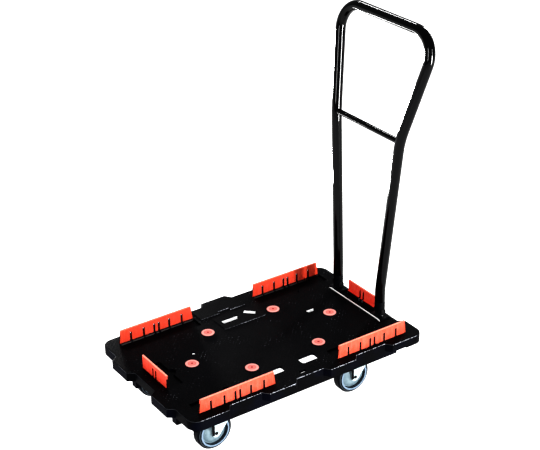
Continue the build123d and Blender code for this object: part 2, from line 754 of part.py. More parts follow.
def latch_plate(side):
    """Plate fixed on a release arm, with the nose that stands under the clevis."""
    top = -guide_bottom - latch_gap
    nose_y = leg_y + nose_offset
    start, end = Vector(bar_x, bar_arm_y), Vector(leg_x, nose_y)
    length = (end - start).length
    middle = (start + end) / 2
    turn = Vector(1, 0).get_signed_angle(end - start, Vector(0, 0, 1))
    plan = Pos(middle.X, middle.Y) * Rot(0, 0, turn) * SlotCenterToCenter(length, latch_width)
    plate = prism(plan, top - latch_thickness, top)
    plate += span((leg_x - nose_length / 2, leg_x + nose_length / 2),
                  (nose_y - latch_thickness / 2, nose_y + latch_thickness / 2),
                  (top - root, pivot_height - tube_radius - latch_gap))
    plate -= drum(bar_radius, top - latch_thickness - overcut, top + overcut, bar_x, bar_arm_y)
    return plate if side > 0 else mirror(plate, about=Plane.XZ)


def keeper_strip():
    """Strip under the release arms that carries their springs."""
    low, high = -strip_bottom, strip_thickness - strip_bottom
    plan = Pos(bar_x, 0) * SlotCenterToCenter(2 * bar_arm_y, strip_width, rotation=90)
    for side in (-1, 1):
        plan -= Pos(bar_x, side * bar_arm_y) * Circle(bar_radius + bar_play)
        plan -= Pos(bar_x, side * strip_boss_y) * Circle(strip_screw_radius + pivot_play)
    return prism(plan, low, high)


def strip_screw(side):
    """Screw up into the deck's boss."""
    y = side * strip_boss_y
    screw = drum(strip_screw_radius, -strip_bottom, -strip_bottom + strip_screw_length, bar_x, y)
    return screw + drum(2 * strip_screw_radius, -strip_bottom - strip_screw_head, -strip_bottom, bar_x, y)


def return_spring(side):
    """Coil spring between the keeper strip and a latch plate, turn by turn."""
    low = strip_thickness - strip_bottom + spring_wire + spring_play
    high = -guide_bottom - latch_gap - latch_thickness - spring_wire - spring_play
    helix = Helix((high - low) / spring_turns, high - low, spring_radius, center=(0, 0, low))
    wire = sweep(Plane(origin=helix @ 0, z_dir=helix % 0) * Rectangle(spring_wire, spring_wire), path=helix,
                 is_frenet=True)
    return Pos(bar_x, side * bar_arm_y, 0) * wire


# ---------------------------------------------------------------- casters, each about its swivel axis

def caster_plate():
    """Mounting plate with the pressed seat of the swivel."""
    plan = RectangleRounded(plate_length, plate_width, plate_corner)
    for x, y in bolt_offsets:
        plan -= Pos(x, y) * Circle(bolt_radius + bolt_hole_play)
    plate = prism(plan, plate_top - plate_thickness, plate_top)
    seat_low = plate_top - plate_thickness - collar_height
    plate += Pos(0, 0, seat_low) * Cone(collar_radius - collar_taper, collar_radius, collar_height + root,
                                        align=(Align.CENTER, Align.CENTER, Align.MIN))
    return plate - drum(kingpin_radius, seat_low - overcut, plate_top + overcut)


def kingpin():
    """Riveted pin that holds the fork's crown to the plate."""
    low = crown_bottom - race_gap
    pin = drum(kingpin_radius, low, plate_top)
    head = drum(kingpin_head_radius, low - kingpin_head_height, low)
    return pin + chamfer(head.edges().group_by(Axis.Z)[0], kingpin_head_height / 3)


def fork():
    """Pressed fork: round crown with a lip, and two legs that taper back to the axle."""
    axle_x = -caster_trail
    leg_middle = fork_inside / 2 + fork_thickness / 2
    crown = drum(fork_crown_radius, crown_bottom - fork_skirt, crown_top)
    crown -= drum(fork_crown_radius - fork_thickness, crown_bottom - fork_skirt - overcut, crown_bottom)
    front = axle_x - fork_lead
    shoulder = crown_bottom - 2 * fork_skirt
    crown_front, crown_rear = -fork_crown_front, fork_crown_rear
    rear_angle = radians(fork_tip_angle)
    tip_rear = (axle_x + fork_tip_radius * cos(rear_angle), axle_height - fork_tip_radius * sin(rear_angle))
    tip_front = (axle_x - fork_tip_radius * sin(rear_angle), axle_height - fork_tip_radius * cos(rear_angle))
    with BuildSketch(Plane.XZ) as side_face:
        with BuildLine():
            Polyline((front, axle_height), (front, shoulder), (crown_front, crown_top),
                     (crown_rear, crown_top), (crown_rear, crown_bottom - fork_skirt),
                     tip_rear, tip_front, close=True)
        make_face()
        with Locations((axle_x, axle_height)):
            Circle(fork_tip_radius)
            Circle(axle_radius + pivot_play, mode=Mode.SUBTRACT)
    leg = extrude(side_face.sketch, fork_thickness / 2, both=True)
    legs = Pos(0, leg_middle, 0) * leg + Pos(0, -leg_middle, 0) * leg
    half_width_out = fork_inside / 2 + fork_thickness
    bridge = span((crown_front, crown_rear), (-half_width_out, half_width_out), (crown_bottom, crown_top))
    body = crown + legs + bridge
    return body - drum(kingpin_radius + kingpin_play, crown_bottom - overcut, crown_top + overcut)


def fork_guard(side):
    """Black guard along the front edge of one leg."""
    front = -caster_trail - fork_lead
    low, high = axle_height - guard_drop, crown_bottom - 2 * fork_skirt
    inner = fork_inside / 2 + fork_thickness
    y_low, y_high = sorted((side * inner, side * (inner + guard_depth)))
    guard = span((front, front + guard_width), (y_low, y_high), (low, high))
    outer = guard.faces().sort_by(Axis.Y)[-1 if side > 0 else 0]
    return fillet(outer.edges(), guard_corner)


def axle_set():
    """Axle bolt through fork and sleeve, and its nut."""
    x, z = -caster_trail, axle_height
    outside = fork_inside / 2 + fork_thickness
    bolt = rod_y(axle_radius, -outside, outside + axle_nut_height + axle_thread_end, x, z)
    head = rod_y(axle_head_radius, -outside - axle_head_height, -outside, x, z)
    head = chamfer(head.edges().sort_by(Axis.Y)[0], axle_head_height / 3)
    ring = RegularPolygon(axle_nut_across / 2, 6, major_radius=False) - Circle(axle_radius)
    nut = Pos(x, outside, z) * Rot(-90, 0, 0) * Rot(0, 0, 30) * extrude(ring, axle_nut_height)
    return [bolt + head, nut]


def bearing_sleeve():
    """Spacer between the fork's legs, on which the hub turns."""
    x, z = -caster_trail, axle_height
    half = fork_inside / 2
    return rod_y(sleeve_radius, -half, half, x, z) - rod_y(axle_radius + pivot_play, -half, half, x, z)


def turned(points):
    """A ring turned about the wheel's axis from its half section of (radius, width) points."""
    profile = make_face(Polyline(*[(radius, 0, width) for radius, width in points], close=True))
    ring = revolve(profile, Axis.Z)
    return Pos(-caster_trail, 0, axle_height) * Rot(90, 0, 0) * ring


def wheel_hub():
    """Moulded centre with a bright rim, a recessed web and a dished middle."""
    half = wheel_width / 2
    rim = wheel_radius - tyre_thickness
    step = rim - rim_width
    web = half - rim_depth
    section = [(sleeve_radius + sleeve_play, half), (hub_radius, half), (dish_radius, web),
               (step - rim_slope, web), (step, half), (rim, half)]
    return turned(section + [(radius, -width) for radius, width in reversed(section)])


def tyre():
    """Solid rubber tread ring on the rim."""
    half = wheel_width / 2
    rim = wheel_radius - tyre_thickness
    section = [(rim, half), (rim + tyre_bead, half - tyre_bead_drop), (wheel_radius, half - tyre_shoulder)]
    return turned(section + [(radius, -width) for radius, width in reversed(section)])


# ---------------------------------------------------------------- write every node

write("deck", deck())
write("grip_discs", [Pos(x, y, 0) * grip_disc() for x, y in disc_centres])
for name, length, taper, rise, web_slots, place, turn, height in flap_places:
    write(name, flap_place(place, turn, height) * flap(length, taper, rise, web_slots))
write("flap_pins", [flap_place(place, turn, height) * flap_pin(length)
                    for name, length, taper, rise, web_slots, place, turn, height in flap_places])

tube, crossbar = handle_tubes()
write("handle_tube", tube)
write("handle_crossbar", crossbar)
for side, side_name in ((1, "far"), (-1, "near")):
    write(f"handle_foot_{side_name}", handle_foot(side))
    write(f"handle_bracket_{side_name}", handle_bracket(side))
write("pivot_pins", [pivot_pin(side) for side in (-1, 1)])
screw_places = [(leg_x, side * leg_y + step * screw_spacing / 2) for side in (-1, 1) for step in (-1, 1)]
write("bracket_screws", [bracket_screw(x, y) for x, y in screw_places])
nut_low = -flange_pad_depth - nut_height
write("bracket_nuts", [hex_drum(nut_across, nut_low, -flange_pad_depth, x, y, screw_radius)
                       for x, y in screw_places])
write("release_bar", release_bar())
write("latch_plates", [latch_plate(side) for side in (-1, 1)])
write("keeper_strip", keeper_strip())
write("strip_screws", [strip_screw(side) for side in (-1, 1)])
write("return_springs", [return_spring(side) for side in (-1, 1)])

write("caster_plates", [Pos(x, y, 0) * caster_plate() for x, y in caster_centres])
write("kingpins", [Pos(x, y, 0) * kingpin() for x, y in caster_centres])
bolt_low = plate_top - plate_thickness
caster_bolts = []
for x, y in caster_centres:
    for bolt_x, bolt_y in bolt_offsets:
        bolt = drum(bolt_radius, bolt_low, plate_top + bolt_length - bolt_bore_spare, x + bolt_x, y + bolt_y)
        bolt += hex_drum(bolt_head_across, bolt_low - bolt_head_height, bolt_low, x + bolt_x, y + bolt_y)
        caster_bolts.append(bolt)
write("caster_bolts", caster_bolts)
caster_names = ("front_near", "front_far", "rear_near", "rear_far")
for caster_name, (x, y) in zip(caster_names, caster_centres):
    at = Pos(x, y, 0)
    write(f"fork_{caster_name}", at * fork())
    write(f"guard_{caster_name}", [at * fork_guard(side) for side in (-1, 1)])
    write(f"axle_{caster_name}", [at * piece for piece in axle_set()])
    write(f"sleeve_{caster_name}", at * bearing_sleeve())
    write(f"hub_{caster_name}", at * wheel_hub())
    write(f"tyre_{caster_name}", at * tyre())
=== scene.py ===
# %% [markdown]
# # Folding platform cart: the looks
# The solids of the cart come ready made: deck, stop flaps, bent tube handle, release bar and casters.
# This lesson dresses them. Each step says what a finish or a piece is on the real cart, how it could be
# made in Blender, and why it is made this way here.

# %% Load the solids
import json
import math

import bmesh
import bpy
from mathutils import Matrix, Vector


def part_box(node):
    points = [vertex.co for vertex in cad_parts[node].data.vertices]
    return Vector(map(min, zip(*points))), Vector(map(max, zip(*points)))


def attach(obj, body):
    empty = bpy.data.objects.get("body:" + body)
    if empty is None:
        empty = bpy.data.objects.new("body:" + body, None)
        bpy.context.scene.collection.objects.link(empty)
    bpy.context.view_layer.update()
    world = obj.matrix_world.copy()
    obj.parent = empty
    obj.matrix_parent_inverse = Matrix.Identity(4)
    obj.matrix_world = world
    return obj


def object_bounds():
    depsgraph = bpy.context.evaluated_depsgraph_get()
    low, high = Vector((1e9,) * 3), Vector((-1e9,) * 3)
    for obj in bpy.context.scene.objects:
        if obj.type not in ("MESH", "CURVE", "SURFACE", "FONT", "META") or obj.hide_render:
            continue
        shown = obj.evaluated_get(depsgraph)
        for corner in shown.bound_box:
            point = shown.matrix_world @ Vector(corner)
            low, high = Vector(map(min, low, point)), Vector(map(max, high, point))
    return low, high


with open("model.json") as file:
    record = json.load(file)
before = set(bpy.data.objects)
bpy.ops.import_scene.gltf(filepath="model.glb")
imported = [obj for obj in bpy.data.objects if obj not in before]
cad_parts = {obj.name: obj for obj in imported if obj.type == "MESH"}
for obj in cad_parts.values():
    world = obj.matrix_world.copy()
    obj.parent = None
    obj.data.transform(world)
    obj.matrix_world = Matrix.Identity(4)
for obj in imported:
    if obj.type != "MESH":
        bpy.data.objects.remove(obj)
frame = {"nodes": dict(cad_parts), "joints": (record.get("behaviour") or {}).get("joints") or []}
nodes = frame["nodes"]
solid_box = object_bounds()
ready_made = set(bpy.data.materials.keys())
mm = 0.001
print(len(nodes), "solids, box", [round(side, 3) for side in solid_box[1] - solid_box[0]])

# %% [markdown]
# ## Shader arithmetic
# A finish is a small program that runs at every point of a surface. Dragging nodes by hand gets tangled,
# so one class lets node outputs be added and multiplied like numbers, and another makes the nodes. The
# same two serve later for the trees that build small repeated forms.


# %% Node outputs as numbers
class Value:
    """An output socket that can stand in a sum, a product or a comparison."""

    def __init__(self, maker, socket):
        self.maker = maker
        self.socket = socket

    def math(self, operation, *values):
        """One sum, product or comparison."""
        return self.maker.node("ShaderNodeMath", {"operation": operation}, dict(enumerate(values)))

    def __add__(self, other):
        return self.math("ADD", self, other)

    def __radd__(self, other):
        return self.math("ADD", other, self)

    def __sub__(self, other):
        return self.math("SUBTRACT", self, other)

    def __rsub__(self, other):
        return self.math("SUBTRACT", other, self)

    def __mul__(self, other):
        return self.math("MULTIPLY", self, other)

    def __truediv__(self, other):
        return self.math("DIVIDE", self, other)

    def __gt__(self, other):
        return self.math("GREATER_THAN", self, other)

    def __lt__(self, other):
        return self.math("LESS_THAN", self, other)

    def __abs__(self):
        return self.math("ABSOLUTE", self)

    def at_most(self, other):
        """The lower of two values."""
        return self.math("MINIMUM", self, other)

    def at_least(self, other):
        """The higher of two values."""
        return self.math("MAXIMUM", self, other)

    def rounded(self):
        """The nearest whole number."""
        return self.math("ROUND", self)

    def across(self, other):
        """The long side of the triangle that has these two values as its short sides."""
        return self.math("SQRT", self * self + other * other)

    def between(self, low, high):
        """0 below low, 1 above high, and a smooth ramp from one to the other."""
        values = {"Value": self, "From Min": low, "From Max": high}
        return self.maker.node("ShaderNodeMapRange", {"interpolation_type": "SMOOTHSTEP"}, values)


class Maker:
    """Adds nodes to a tree and links them."""

    def __init__(self, tree):
        self.tree = tree

    def connect(self, socket, value):
        """Link another node's output to a socket, or set the socket's own value."""
        if isinstance(value, Value):
            self.tree.links.new(value.socket, socket)
        else:
            socket.default_value = value

    def node(self, kind, settings=None, values=None, output=0):
        """Make a node: settings first, then the values or links of its sockets."""
        made = self.tree.nodes.new(kind)
        for name, setting in (settings or {}).items():
            setattr(made, name, setting)
        for socket, value in (values or {}).items():
            self.connect(made.inputs[socket], value)
        return Value(self, made.outputs[output])

    def split(self, vector):
        """The three parts of a vector."""
        made = self.node("ShaderNodeSeparateXYZ", values={"Vector": vector})
        return [Value(self, part) for part in made.socket.node.outputs]


class Finish(Maker):
    """A material built round one Principled shader."""

    def __init__(self, name, colour, roughness, metallic=0.0, **constants):
        self.material = bpy.data.materials.new(name)
        self.material.use_nodes = True
        super().__init__(self.material.node_tree)
        self.shader = self.tree.nodes["Principled BSDF"]
        self.feed("Base Color", (*colour, 1.0))
        self.feed("Roughness", roughness)
        self.feed("Metallic", metallic)
        for socket, value in constants.items():
            self.feed(socket.replace("_", " ").title().replace("Ior", "IOR"), value)

    def feed(self, socket, value):
        """Set one of the shader's sockets, or link a value to it."""
        self.connect(self.shader.inputs[socket], value)

    def place(self, stretch=(1, 1, 1)):
        """Object coordinates, in metres, stretched."""
        spot = self.node("ShaderNodeTexCoord", output="Object")
        return self.node("ShaderNodeMapping", values={"Vector": spot, "Scale": stretch})

    def axes(self):
        """The three Object coordinates as separate values, in metres."""
        return self.split(self.node("ShaderNodeTexCoord", output="Object"))

    def facing(self):
        """The three parts of the surface's direction, in the piece's own frame."""
        return self.split(self.node("ShaderNodeTexCoord", output="Normal"))

    def noise(self, scale, detail=2.0, rough=0.5, stretch=(1, 1, 1)):
        """Smooth random values round 0.5; scale times stretch is in cycles per metre."""
        values = {"Vector": self.place(stretch), "Scale": scale, "Detail": detail, "Roughness": rough}
        return self.node("ShaderNodeTexNoise", values=values)

    def cells(self, scale):
        """Distance to the nearest of many scattered points."""
        return self.node("ShaderNodeTexVoronoi", values={"Vector": self.place(), "Scale": scale})

    def mix(self, amount, colour, other):
        """Blend two colours."""
        settings = {"data_type": "RGBA", "blend_type": "MIX"}
        made = self.node("ShaderNodeMix", settings, output=2).socket.node
        for socket, value in ((0, amount), (6, colour), (7, other)):
            rgba = (*value, 1.0) if isinstance(value, tuple) else value
            self.connect(made.inputs[socket], rgba)
        return Value(self, made.outputs[2])

    def bump(self, height, depth):
        """Raise the surface by height times depth, in metres."""
        values = {"Height": height, "Strength": 1.0, "Distance": depth}
        self.feed("Normal", self.node("ShaderNodeBump", values=values))

    def dress(self, *names):
        """Give this finish to solids by name."""
        for name in names:
            mesh = nodes[name].data
            mesh.materials.clear()
            mesh.materials.append(self.material)


def dimmed(colour, share):
    """A colour with only a share of its light."""
    return tuple(channel * share for channel in colour)


print("shader helpers ready")

# %% [markdown]
# ## Black moulded plastic
# The deck is injection-moulded polypropylene: almost black, with a painted blue sheen on its upright sides,
# and the fine grain of a spark-eroded mould. Boxes that slide over it leave long pale scuffs, so the gloss
# changes along them. A painted picture could carry all this, but it needs an unwrapped mesh and blurs close
# up. Stretched noise gives the scuffs instead, a finer noise the grain, and the surface's direction the
# sheen.

# %% Deck grain and scuffs
deck_finish = Finish("deck_polypropylene", (0.002, 0.002, 0.004), 0.5, specular_ior_level=0.03)
x, y, z = deck_finish.axes()
facing_x, facing_y, facing_z = deck_finish.facing()
grain = deck_finish.noise(1800, 2)
clouds = deck_finish.noise(9, 3)
scuffs = deck_finish.noise(30, 4, 0.6, (1.0, 14.0, 1.0)).between(0.62, 0.74)
worn = scuffs * clouds.between(0.45, 0.7)
flank = 1 - abs(facing_z).between(0.2, 0.5)
black, scuffed, side_sheen_blue = (0.0006, 0.0007, 0.0015), (0.006, 0.007, 0.009), (0.0008, 0.0012, 0.0050)
dull = deck_finish.mix(worn * 0.4, black, scuffed)
# Painted sheen: upright sides are tinted blue in cloudy patches.
with_side_sheen = deck_finish.mix(flank * clouds.between(0.45, 0.6), dull, side_sheen_blue)
deck_finish.feed("Roughness", 0.46 + clouds * 0.16 + worn * 0.12)
deck_finish.bump(grain, 0.10 * mm)
print("deck nodes:", len(deck_finish.tree.nodes))

# %% [markdown]
# ## Painted edge highlights
# The rounded top edge of the long sides carries painted highlights in short stretches, and so do the near
# walls of whatever stands above the top. They could be brushed on by hand. But the surface slants only at
# the edge, so its direction finds the edge by itself, however the deck is changed. A noise with many cycles
# along the cart and few across it breaks both lines into short dashes.

# %% Rim and pad edges
rim_low, rim_high, pad_low = -2.6 * mm, 0.2 * mm, 0.1 * mm
# Painted highlights: pale dashes along the slanting rim and on the near walls of the pad.
highlight_dashes = deck_finish.noise(1.0, 1, 0.5, (210, 30, 1)).between(0.46, 0.53)
edge = facing_z.between(0.46, 0.58) * (1 - facing_z.between(0.76, 0.86)) * (z > rim_low)
lengthwise = 1 - abs(facing_x).between(0.04, 0.14)
rim_highlight_strength = 0.05 + clouds.between(0.5, 0.7) * 0.2 + lengthwise * (0.06 + highlight_dashes * 0.94)
rim_highlight = edge * (z < rim_high) * rim_highlight_strength
pad_wall = (edge + flank).at_most(1.0) * (z > pad_low) * (facing_y < -0.3)
pad_highlight = pad_wall * (0.15 + clouds.between(0.42, 0.60) * 0.5) * (0.3 + highlight_dashes * 0.7)
highlight_grey = (0.62, 0.65, 0.72)
with_painted_edge_light = deck_finish.mix((rim_highlight + pad_highlight).at_most(1.0), with_side_sheen, highlight_grey)
print("edges rubbed between", round(rim_low / mm, 1), "and", round(rim_high / mm, 1), "mm")

# %% [markdown]
# ## Painted light in the lashing holes
# The outer wall of the three far lashing holes is painted near white, as painted light for the bright floor
# seen through them. The walls could be given a material of their own, face by face. A box round each hole is
# simpler: it is a middle and a reach along X and Y, in millimetres, and within it only upright walls that
# face the near side are painted.

# %% Lashing holes with painted light
far_holes = ((-20, 126, 26, 9), (44, 129, 16, 16), (185, 40, 13, 8))
see_through_low, see_through_high = -7.2 * mm, 1.5 * mm
see_through_white = (0.85, 0.86, 0.86)
at_holes = 0
for hole_x, hole_y, reach_x, reach_y in far_holes:
    at_hole = (abs(x - hole_x * mm) < reach_x * mm) * (abs(y - hole_y * mm) < reach_y * mm)
    at_holes = at_hole + at_holes
# Painted light: the near-facing walls of the far holes are near white, for the bright floor seen through
# them.
see_through_light = at_holes * (facing_y < -0.5) * (z > see_through_low) * (z < see_through_high) * flank
deck_finish.feed("Base Color", deck_finish.mix(see_through_light, with_painted_edge_light, see_through_white))
deck_finish.dress("deck")
print("deck dressed, worn holes:", len(far_holes))

# %% [markdown]
# ## Orange stop flaps
# The flaps are moulded in coloured plastic. Their top edge is painted paler as a highlight, with a painted
# shadow line under it, and painted shade darkens the slots' walls, a band close beside each slot and the foot
# round the hinge barrel. Each zone could be a separate material, but shade has soft, uneven borders, so
# height, the distance from a slot and the surface's direction choose between the colours, and noise shakes
# the borders. The fine streaks are noise squeezed along the flap and drawn out upwards.

# %% Flap plastic
tongue_slots, slot_pitch = 7.0 * mm, 39.0 * mm
slot_wall_top, slot_shadow_reach, plain_above_slots = 26.0 * mm, 3.1 * mm, 13.4 * mm
line_low, line_high, ridge_low, ridge_high = 3.4 * mm, 3.0 * mm, 2.2 * mm, 1.2 * mm
fade_low, fade_high, shade_fade = 8 * mm, 40 * mm, 0.4 * mm
fade_wobble, line_wobble, shade_wobble = 12 * mm, 0.6 * mm, 0.5 * mm
painted_shade_black = (0.006, 0.002, 0.002)


def flap_finish(name, low_colour, high_colour, streak_and_highlight_colour, top, shade_top, along, middle=0.0, slots=0):
    """Streaked plastic with a painted highlight on its top edge and painted shade in and beside the slots;
    along is 0 for X and 1 for Y.

    top is the height of the flap's edge, the argument after it the height that the painted shade reaches at
    the hinge, middle how far the flap's middle is from the cart's own, and slots the number of slots on
    either side of it.
    """
    finish = Finish(name, low_colour, 0.42, specular_ior_level=0.08)
    spot = finish.axes()
    z = spot[2]
    streaks = finish.noise(1.0, 3, 0.6, (420, 420, 14))
    blotches = finish.noise(1.0, 2, 0.5, (60, 60, 40))
    height = (z + blotches * fade_wobble).between(fade_low, fade_high)
    body = finish.mix(height, low_colour, high_colour)
    streaked = finish.mix(streaks.between(0.42, 0.62) * 0.45, body, dimmed(low_colour, 0.80))
    pale = finish.mix(streaks.between(0.56, 0.72) * 0.35, streaked, streak_and_highlight_colour)
    wavy = z + streaks * line_wobble
    # Painted shadow: a dark line just under the top edge.
    shadow_line = wavy.between(top - line_low, top - line_high)
    # Painted highlight: the top edge is paler.
    top_highlight = wavy.between(top - ridge_low, top - ridge_high)
    with_painted_edge_light = finish.mix(shadow_line * (1 - top_highlight) * 0.35, pale, dimmed(low_colour, 0.5))
    with_top_highlight = finish.mix(top_highlight * 0.9, with_painted_edge_light, streak_and_highlight_colour)
    # Painted shade: the slots' walls are black.
    slot_wall = abs(finish.facing()[along]).between(0.75, 0.9) * (z < slot_wall_top)
    from_middle = abs(abs(spot[along]) - middle)
    from_slot = abs(from_middle - tongue_slots)
    for number in range(1, slots + 1):
        from_slot = from_slot.at_most(abs(from_middle - number * slot_pitch))
    # Painted shadow: a dark band beside each slot, between it and its lip.
    slot_side_shadow = (from_slot < slot_shadow_reach) * (z < top - plain_above_slots)
    # Painted shade: the foot round the hinge barrel is black.
    sunk = 1 - (z - blotches * shade_wobble).between(shade_top - shade_fade, shade_top)
    painted_shade = slot_wall.at_least(slot_side_shadow).at_least(sunk)
    finish.feed("Base Color", finish.mix(painted_shade, with_top_highlight, painted_shade_black))
    finish.feed("Roughness", 0.36 + streaks * 0.2)
    finish.bump(streaks, 0.10 * mm)
    return finish


print("slots", round(tongue_slots / mm), "mm from the middle and every", round(slot_pitch / mm), "mm")

# %% [markdown]
# ## Four flap colours
# The near pair is a lighter orange than the far pair, and the flap beside the handle is the deepest red. They
# could share one colour, but mouldings of different batches fade differently, and the small steps between
# them help the eye to tell the flaps apart. Each colour is a low, a high and an edge tone of one finish.

# %% Flap colours
long_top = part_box("flap_near_front")[1].z
long_middle = sum(corner.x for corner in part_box("flap_near_rear")) / 2
rear_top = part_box("flap_rear")[1].z
long_slots = 2
low_shade_top, high_shade_top = 0.4 * mm, 7.0 * mm
near_flaps = flap_finish("flap_orange", (0.76, 0.095, 0.046), (0.74, 0.105, 0.062), (0.80, 0.28, 0.20),
                         long_top, low_shade_top, along=0, middle=long_middle, slots=long_slots)
far_flaps = flap_finish("flap_red_orange", (0.70, 0.066, 0.030), (0.74, 0.082, 0.040), (0.80, 0.18, 0.11),
                        long_top, low_shade_top, along=0, middle=long_middle, slots=long_slots)
front_flap = flap_finish("flap_red_front", (0.76, 0.070, 0.040), (0.82, 0.120, 0.080), (0.88, 0.34, 0.25),
                         long_top, low_shade_top, along=1)
rear_flap = flap_finish("flap_red", (0.78, 0.052, 0.028), (0.82, 0.070, 0.040), (0.80, 0.16, 0.11),
                        rear_top, high_shade_top, along=1)
near_flaps.dress("flap_near_front", "flap_near_rear")
far_flaps.dress("flap_far_front", "flap_far_rear")
front_flap.dress("flap_front")
rear_flap.dress("flap_rear")
print("flap tops", round(long_top / mm, 1), round(rear_top / mm, 1))

# %% [markdown]
# ## Grip discs
# Six soft discs keep boxes from sliding. They are salmon on top, deeper red inside the ring groove, dirt has
# darkened the groove and the dimple, and the upright side is painted near black. Rings could be split off as
# faces with materials of their own. One finish does for all six discs: the distance from the nearest disc's
# middle tells the rings apart, and the depth below the top face tells where the dirt lies.

# %% Disc places
disc_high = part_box("grip_discs")[1]
disc_radius = 17.5 * mm
disc_reach = disc_high.x - disc_radius
disc_square = disc_high.y - disc_radius
print("disc circles", round(disc_square / mm, 1), round(disc_reach / mm, 1))

# %% Disc finish
groove_floor, groove_mouth = disc_high.z - 0.9 * mm, disc_high.z - 0.3 * mm
dimple_low, dimple_high, dimple_wobble = 3.0 * mm, 4.2 * mm, 0.6 * mm
groove_low, groove_high, skirt_low, skirt_high = 10.4 * mm, 11.8 * mm, 16.0 * mm, 16.6 * mm
disc_finish = Finish("disc_elastomer", (0.80, 0.33, 0.28), 0.75, specular_ior_level=0.3)
x, y, z = disc_finish.axes()
from_middle = (abs(x) - disc_square).across(abs(y) - disc_square).at_most((abs(x) - disc_reach).across(y))
speckle = disc_finish.noise(700, 2)
dimple = 1 - (from_middle + speckle * dimple_wobble).between(dimple_low, dimple_high)
inner = 1 - from_middle.between(groove_low, groove_high)
sunk = 1 - z.between(groove_floor, groove_mouth)
# The upright side of each disc is painted near black.
skirt = (1 - disc_finish.facing()[2].between(0.3, 0.6)) * from_middle.between(skirt_low, skirt_high)
salmon = disc_finish.mix(speckle.between(0.35, 0.7) * 0.3, (0.82, 0.33, 0.29), (0.70, 0.19, 0.15))
ringed = disc_finish.mix(inner * 0.75, salmon, (0.74, 0.13, 0.11))
dotted = disc_finish.mix(dimple * 0.9, ringed, (0.30, 0.012, 0.010))
grooved = disc_finish.mix(sunk * (1 - dimple) * 0.6, dotted, (0.50, 0.08, 0.06))
disc_finish.feed("Base Color", disc_finish.mix(skirt, grooved, (0.03, 0.006, 0.005)))
disc_finish.feed("Roughness", 0.6 + speckle * 0.25)
disc_finish.bump(speckle, 0.08 * mm)
disc_finish.dress("grip_discs")
print("discs dressed, nodes:", len(disc_finish.tree.nodes))

# %% [markdown]
# ## Painted tube
# The handle is steel tube with a thick gloss coat. What makes paint look like paint is the slight waviness
# of its surface, called orange peel, which bends the long reflections. A clear layer over a dull one could
# give the gloss, but on black a low roughness alone looks the same, and a broad low noise gives the waviness.
# The brackets have a duller, finely pitted coat, and the feet are plain black nylon, with the flow lines of
# the mould drawn out upwards. The guard blocks on the caster forks get the same black nylon: they stand in
# for the shade beside each fork leg.

# %% Handle finish
handle_finish = Finish("handle_powder_coat", (0.0005, 0.0006, 0.001), 0.16, specular_ior_level=0.16)
peel = handle_finish.noise(160, 2)
dust = handle_finish.noise(14, 3).between(0.4, 0.75)
handle_finish.feed("Roughness", 0.05 + dust * 0.06)
handle_finish.bump(peel, 0.02 * mm)
handle_finish.dress("handle_tube", "handle_crossbar")

bracket_finish = Finish("bracket_powder_coat", (0.0015, 0.0018, 0.003), 0.35, specular_ior_level=0.06)
pits = bracket_finish.noise(900, 2)
bracket_finish.feed("Roughness", 0.32 + pits * 0.15)
bracket_finish.bump(pits, 0.08 * mm)
bracket_finish.dress("handle_bracket_far", "handle_bracket_near")

foot_finish = Finish("foot_nylon", (0.0015, 0.0018, 0.003), 0.5, specular_ior_level=0.05)
flow = foot_finish.noise(1.0, 2, 0.5, (300, 300, 60))
foot_finish.feed("Roughness", 0.4 + flow * 0.2)
foot_finish.bump(flow, 0.08 * mm)
foot_finish.dress("handle_foot_far", "handle_foot_near")
# The guard_ blocks are black pieces put where the fork legs only cast shade.
foot_finish.dress(*[name for name in nodes if name.startswith("guard_")])
print("handle dressed")

# %% [markdown]
# ## Zinc and bright steel
# Pressed steel with a zinc coat has soft cloudy patches. The turned axle sleeves have fine rings instead, and
# the spring wire a fine even grain. Pictures of such metal would repeat on the small parts. A cell pattern
# with noise never does, and all of these are the same metal with another pattern.


# %% Metal finishes
def zinc_finish(name, colour, roughness, patch_scale):
    """Cloudy zinc plate."""
    finish = Finish(name, colour, roughness, metallic=1.0)
    patches = finish.cells(patch_scale)
    mottle = finish.noise(patch_scale * 2.5, 3)
    shade = (patches + mottle).between(0.3, 1.3)
    finish.feed("Base Color", finish.mix(shade, colour, dimmed(colour, 0.72)))
    finish.feed("Roughness", roughness + shade * 0.15)
    finish.bump(mottle, 0.03 * mm)
    return finish


def bright_finish(name, colour, roughness, stretch):
    """Bright steel with fine lines where the stretch is uneven, and an even grain where it isn't."""
    finish = Finish(name, colour, roughness, metallic=1.0)
    lines = finish.noise(1.0, 2, 0.5, stretch)
    finish.feed("Roughness", roughness + lines * 0.18)
    finish.bump(lines, 0.02 * mm)
    return finish


casters = ("front_near", "front_far", "rear_near", "rear_far")


def at_casters(piece):
    """The names of one piece at the four casters."""
    return [f"{piece}_{caster}" for caster in casters]


fork_finish = zinc_finish("fork_zinc", (0.38, 0.45, 0.46), 0.5, 220)
fork_finish.dress(*at_casters("fork"))
plate_finish = zinc_finish("plate_zinc", (0.66, 0.68, 0.68), 0.38, 160)
plate_finish.dress("caster_plates", "keeper_strip", "latch_plates", "kingpins")
bolt_finish = zinc_finish("bolt_zinc", (0.60, 0.61, 0.60), 0.36, 500)
bolt_finish.dress("caster_bolts", "bracket_nuts", "strip_screws")
sleeve_finish = bright_finish("sleeve_steel", (0.55, 0.56, 0.57), 0.25, (30, 2500, 30))
sleeve_finish.dress(*at_casters("sleeve"))
spring_finish = bright_finish("spring_steel", (0.45, 0.45, 0.46), 0.3, (1500, 1500, 1500))
spring_finish.dress("return_springs")
print("zinc and steel dressed")

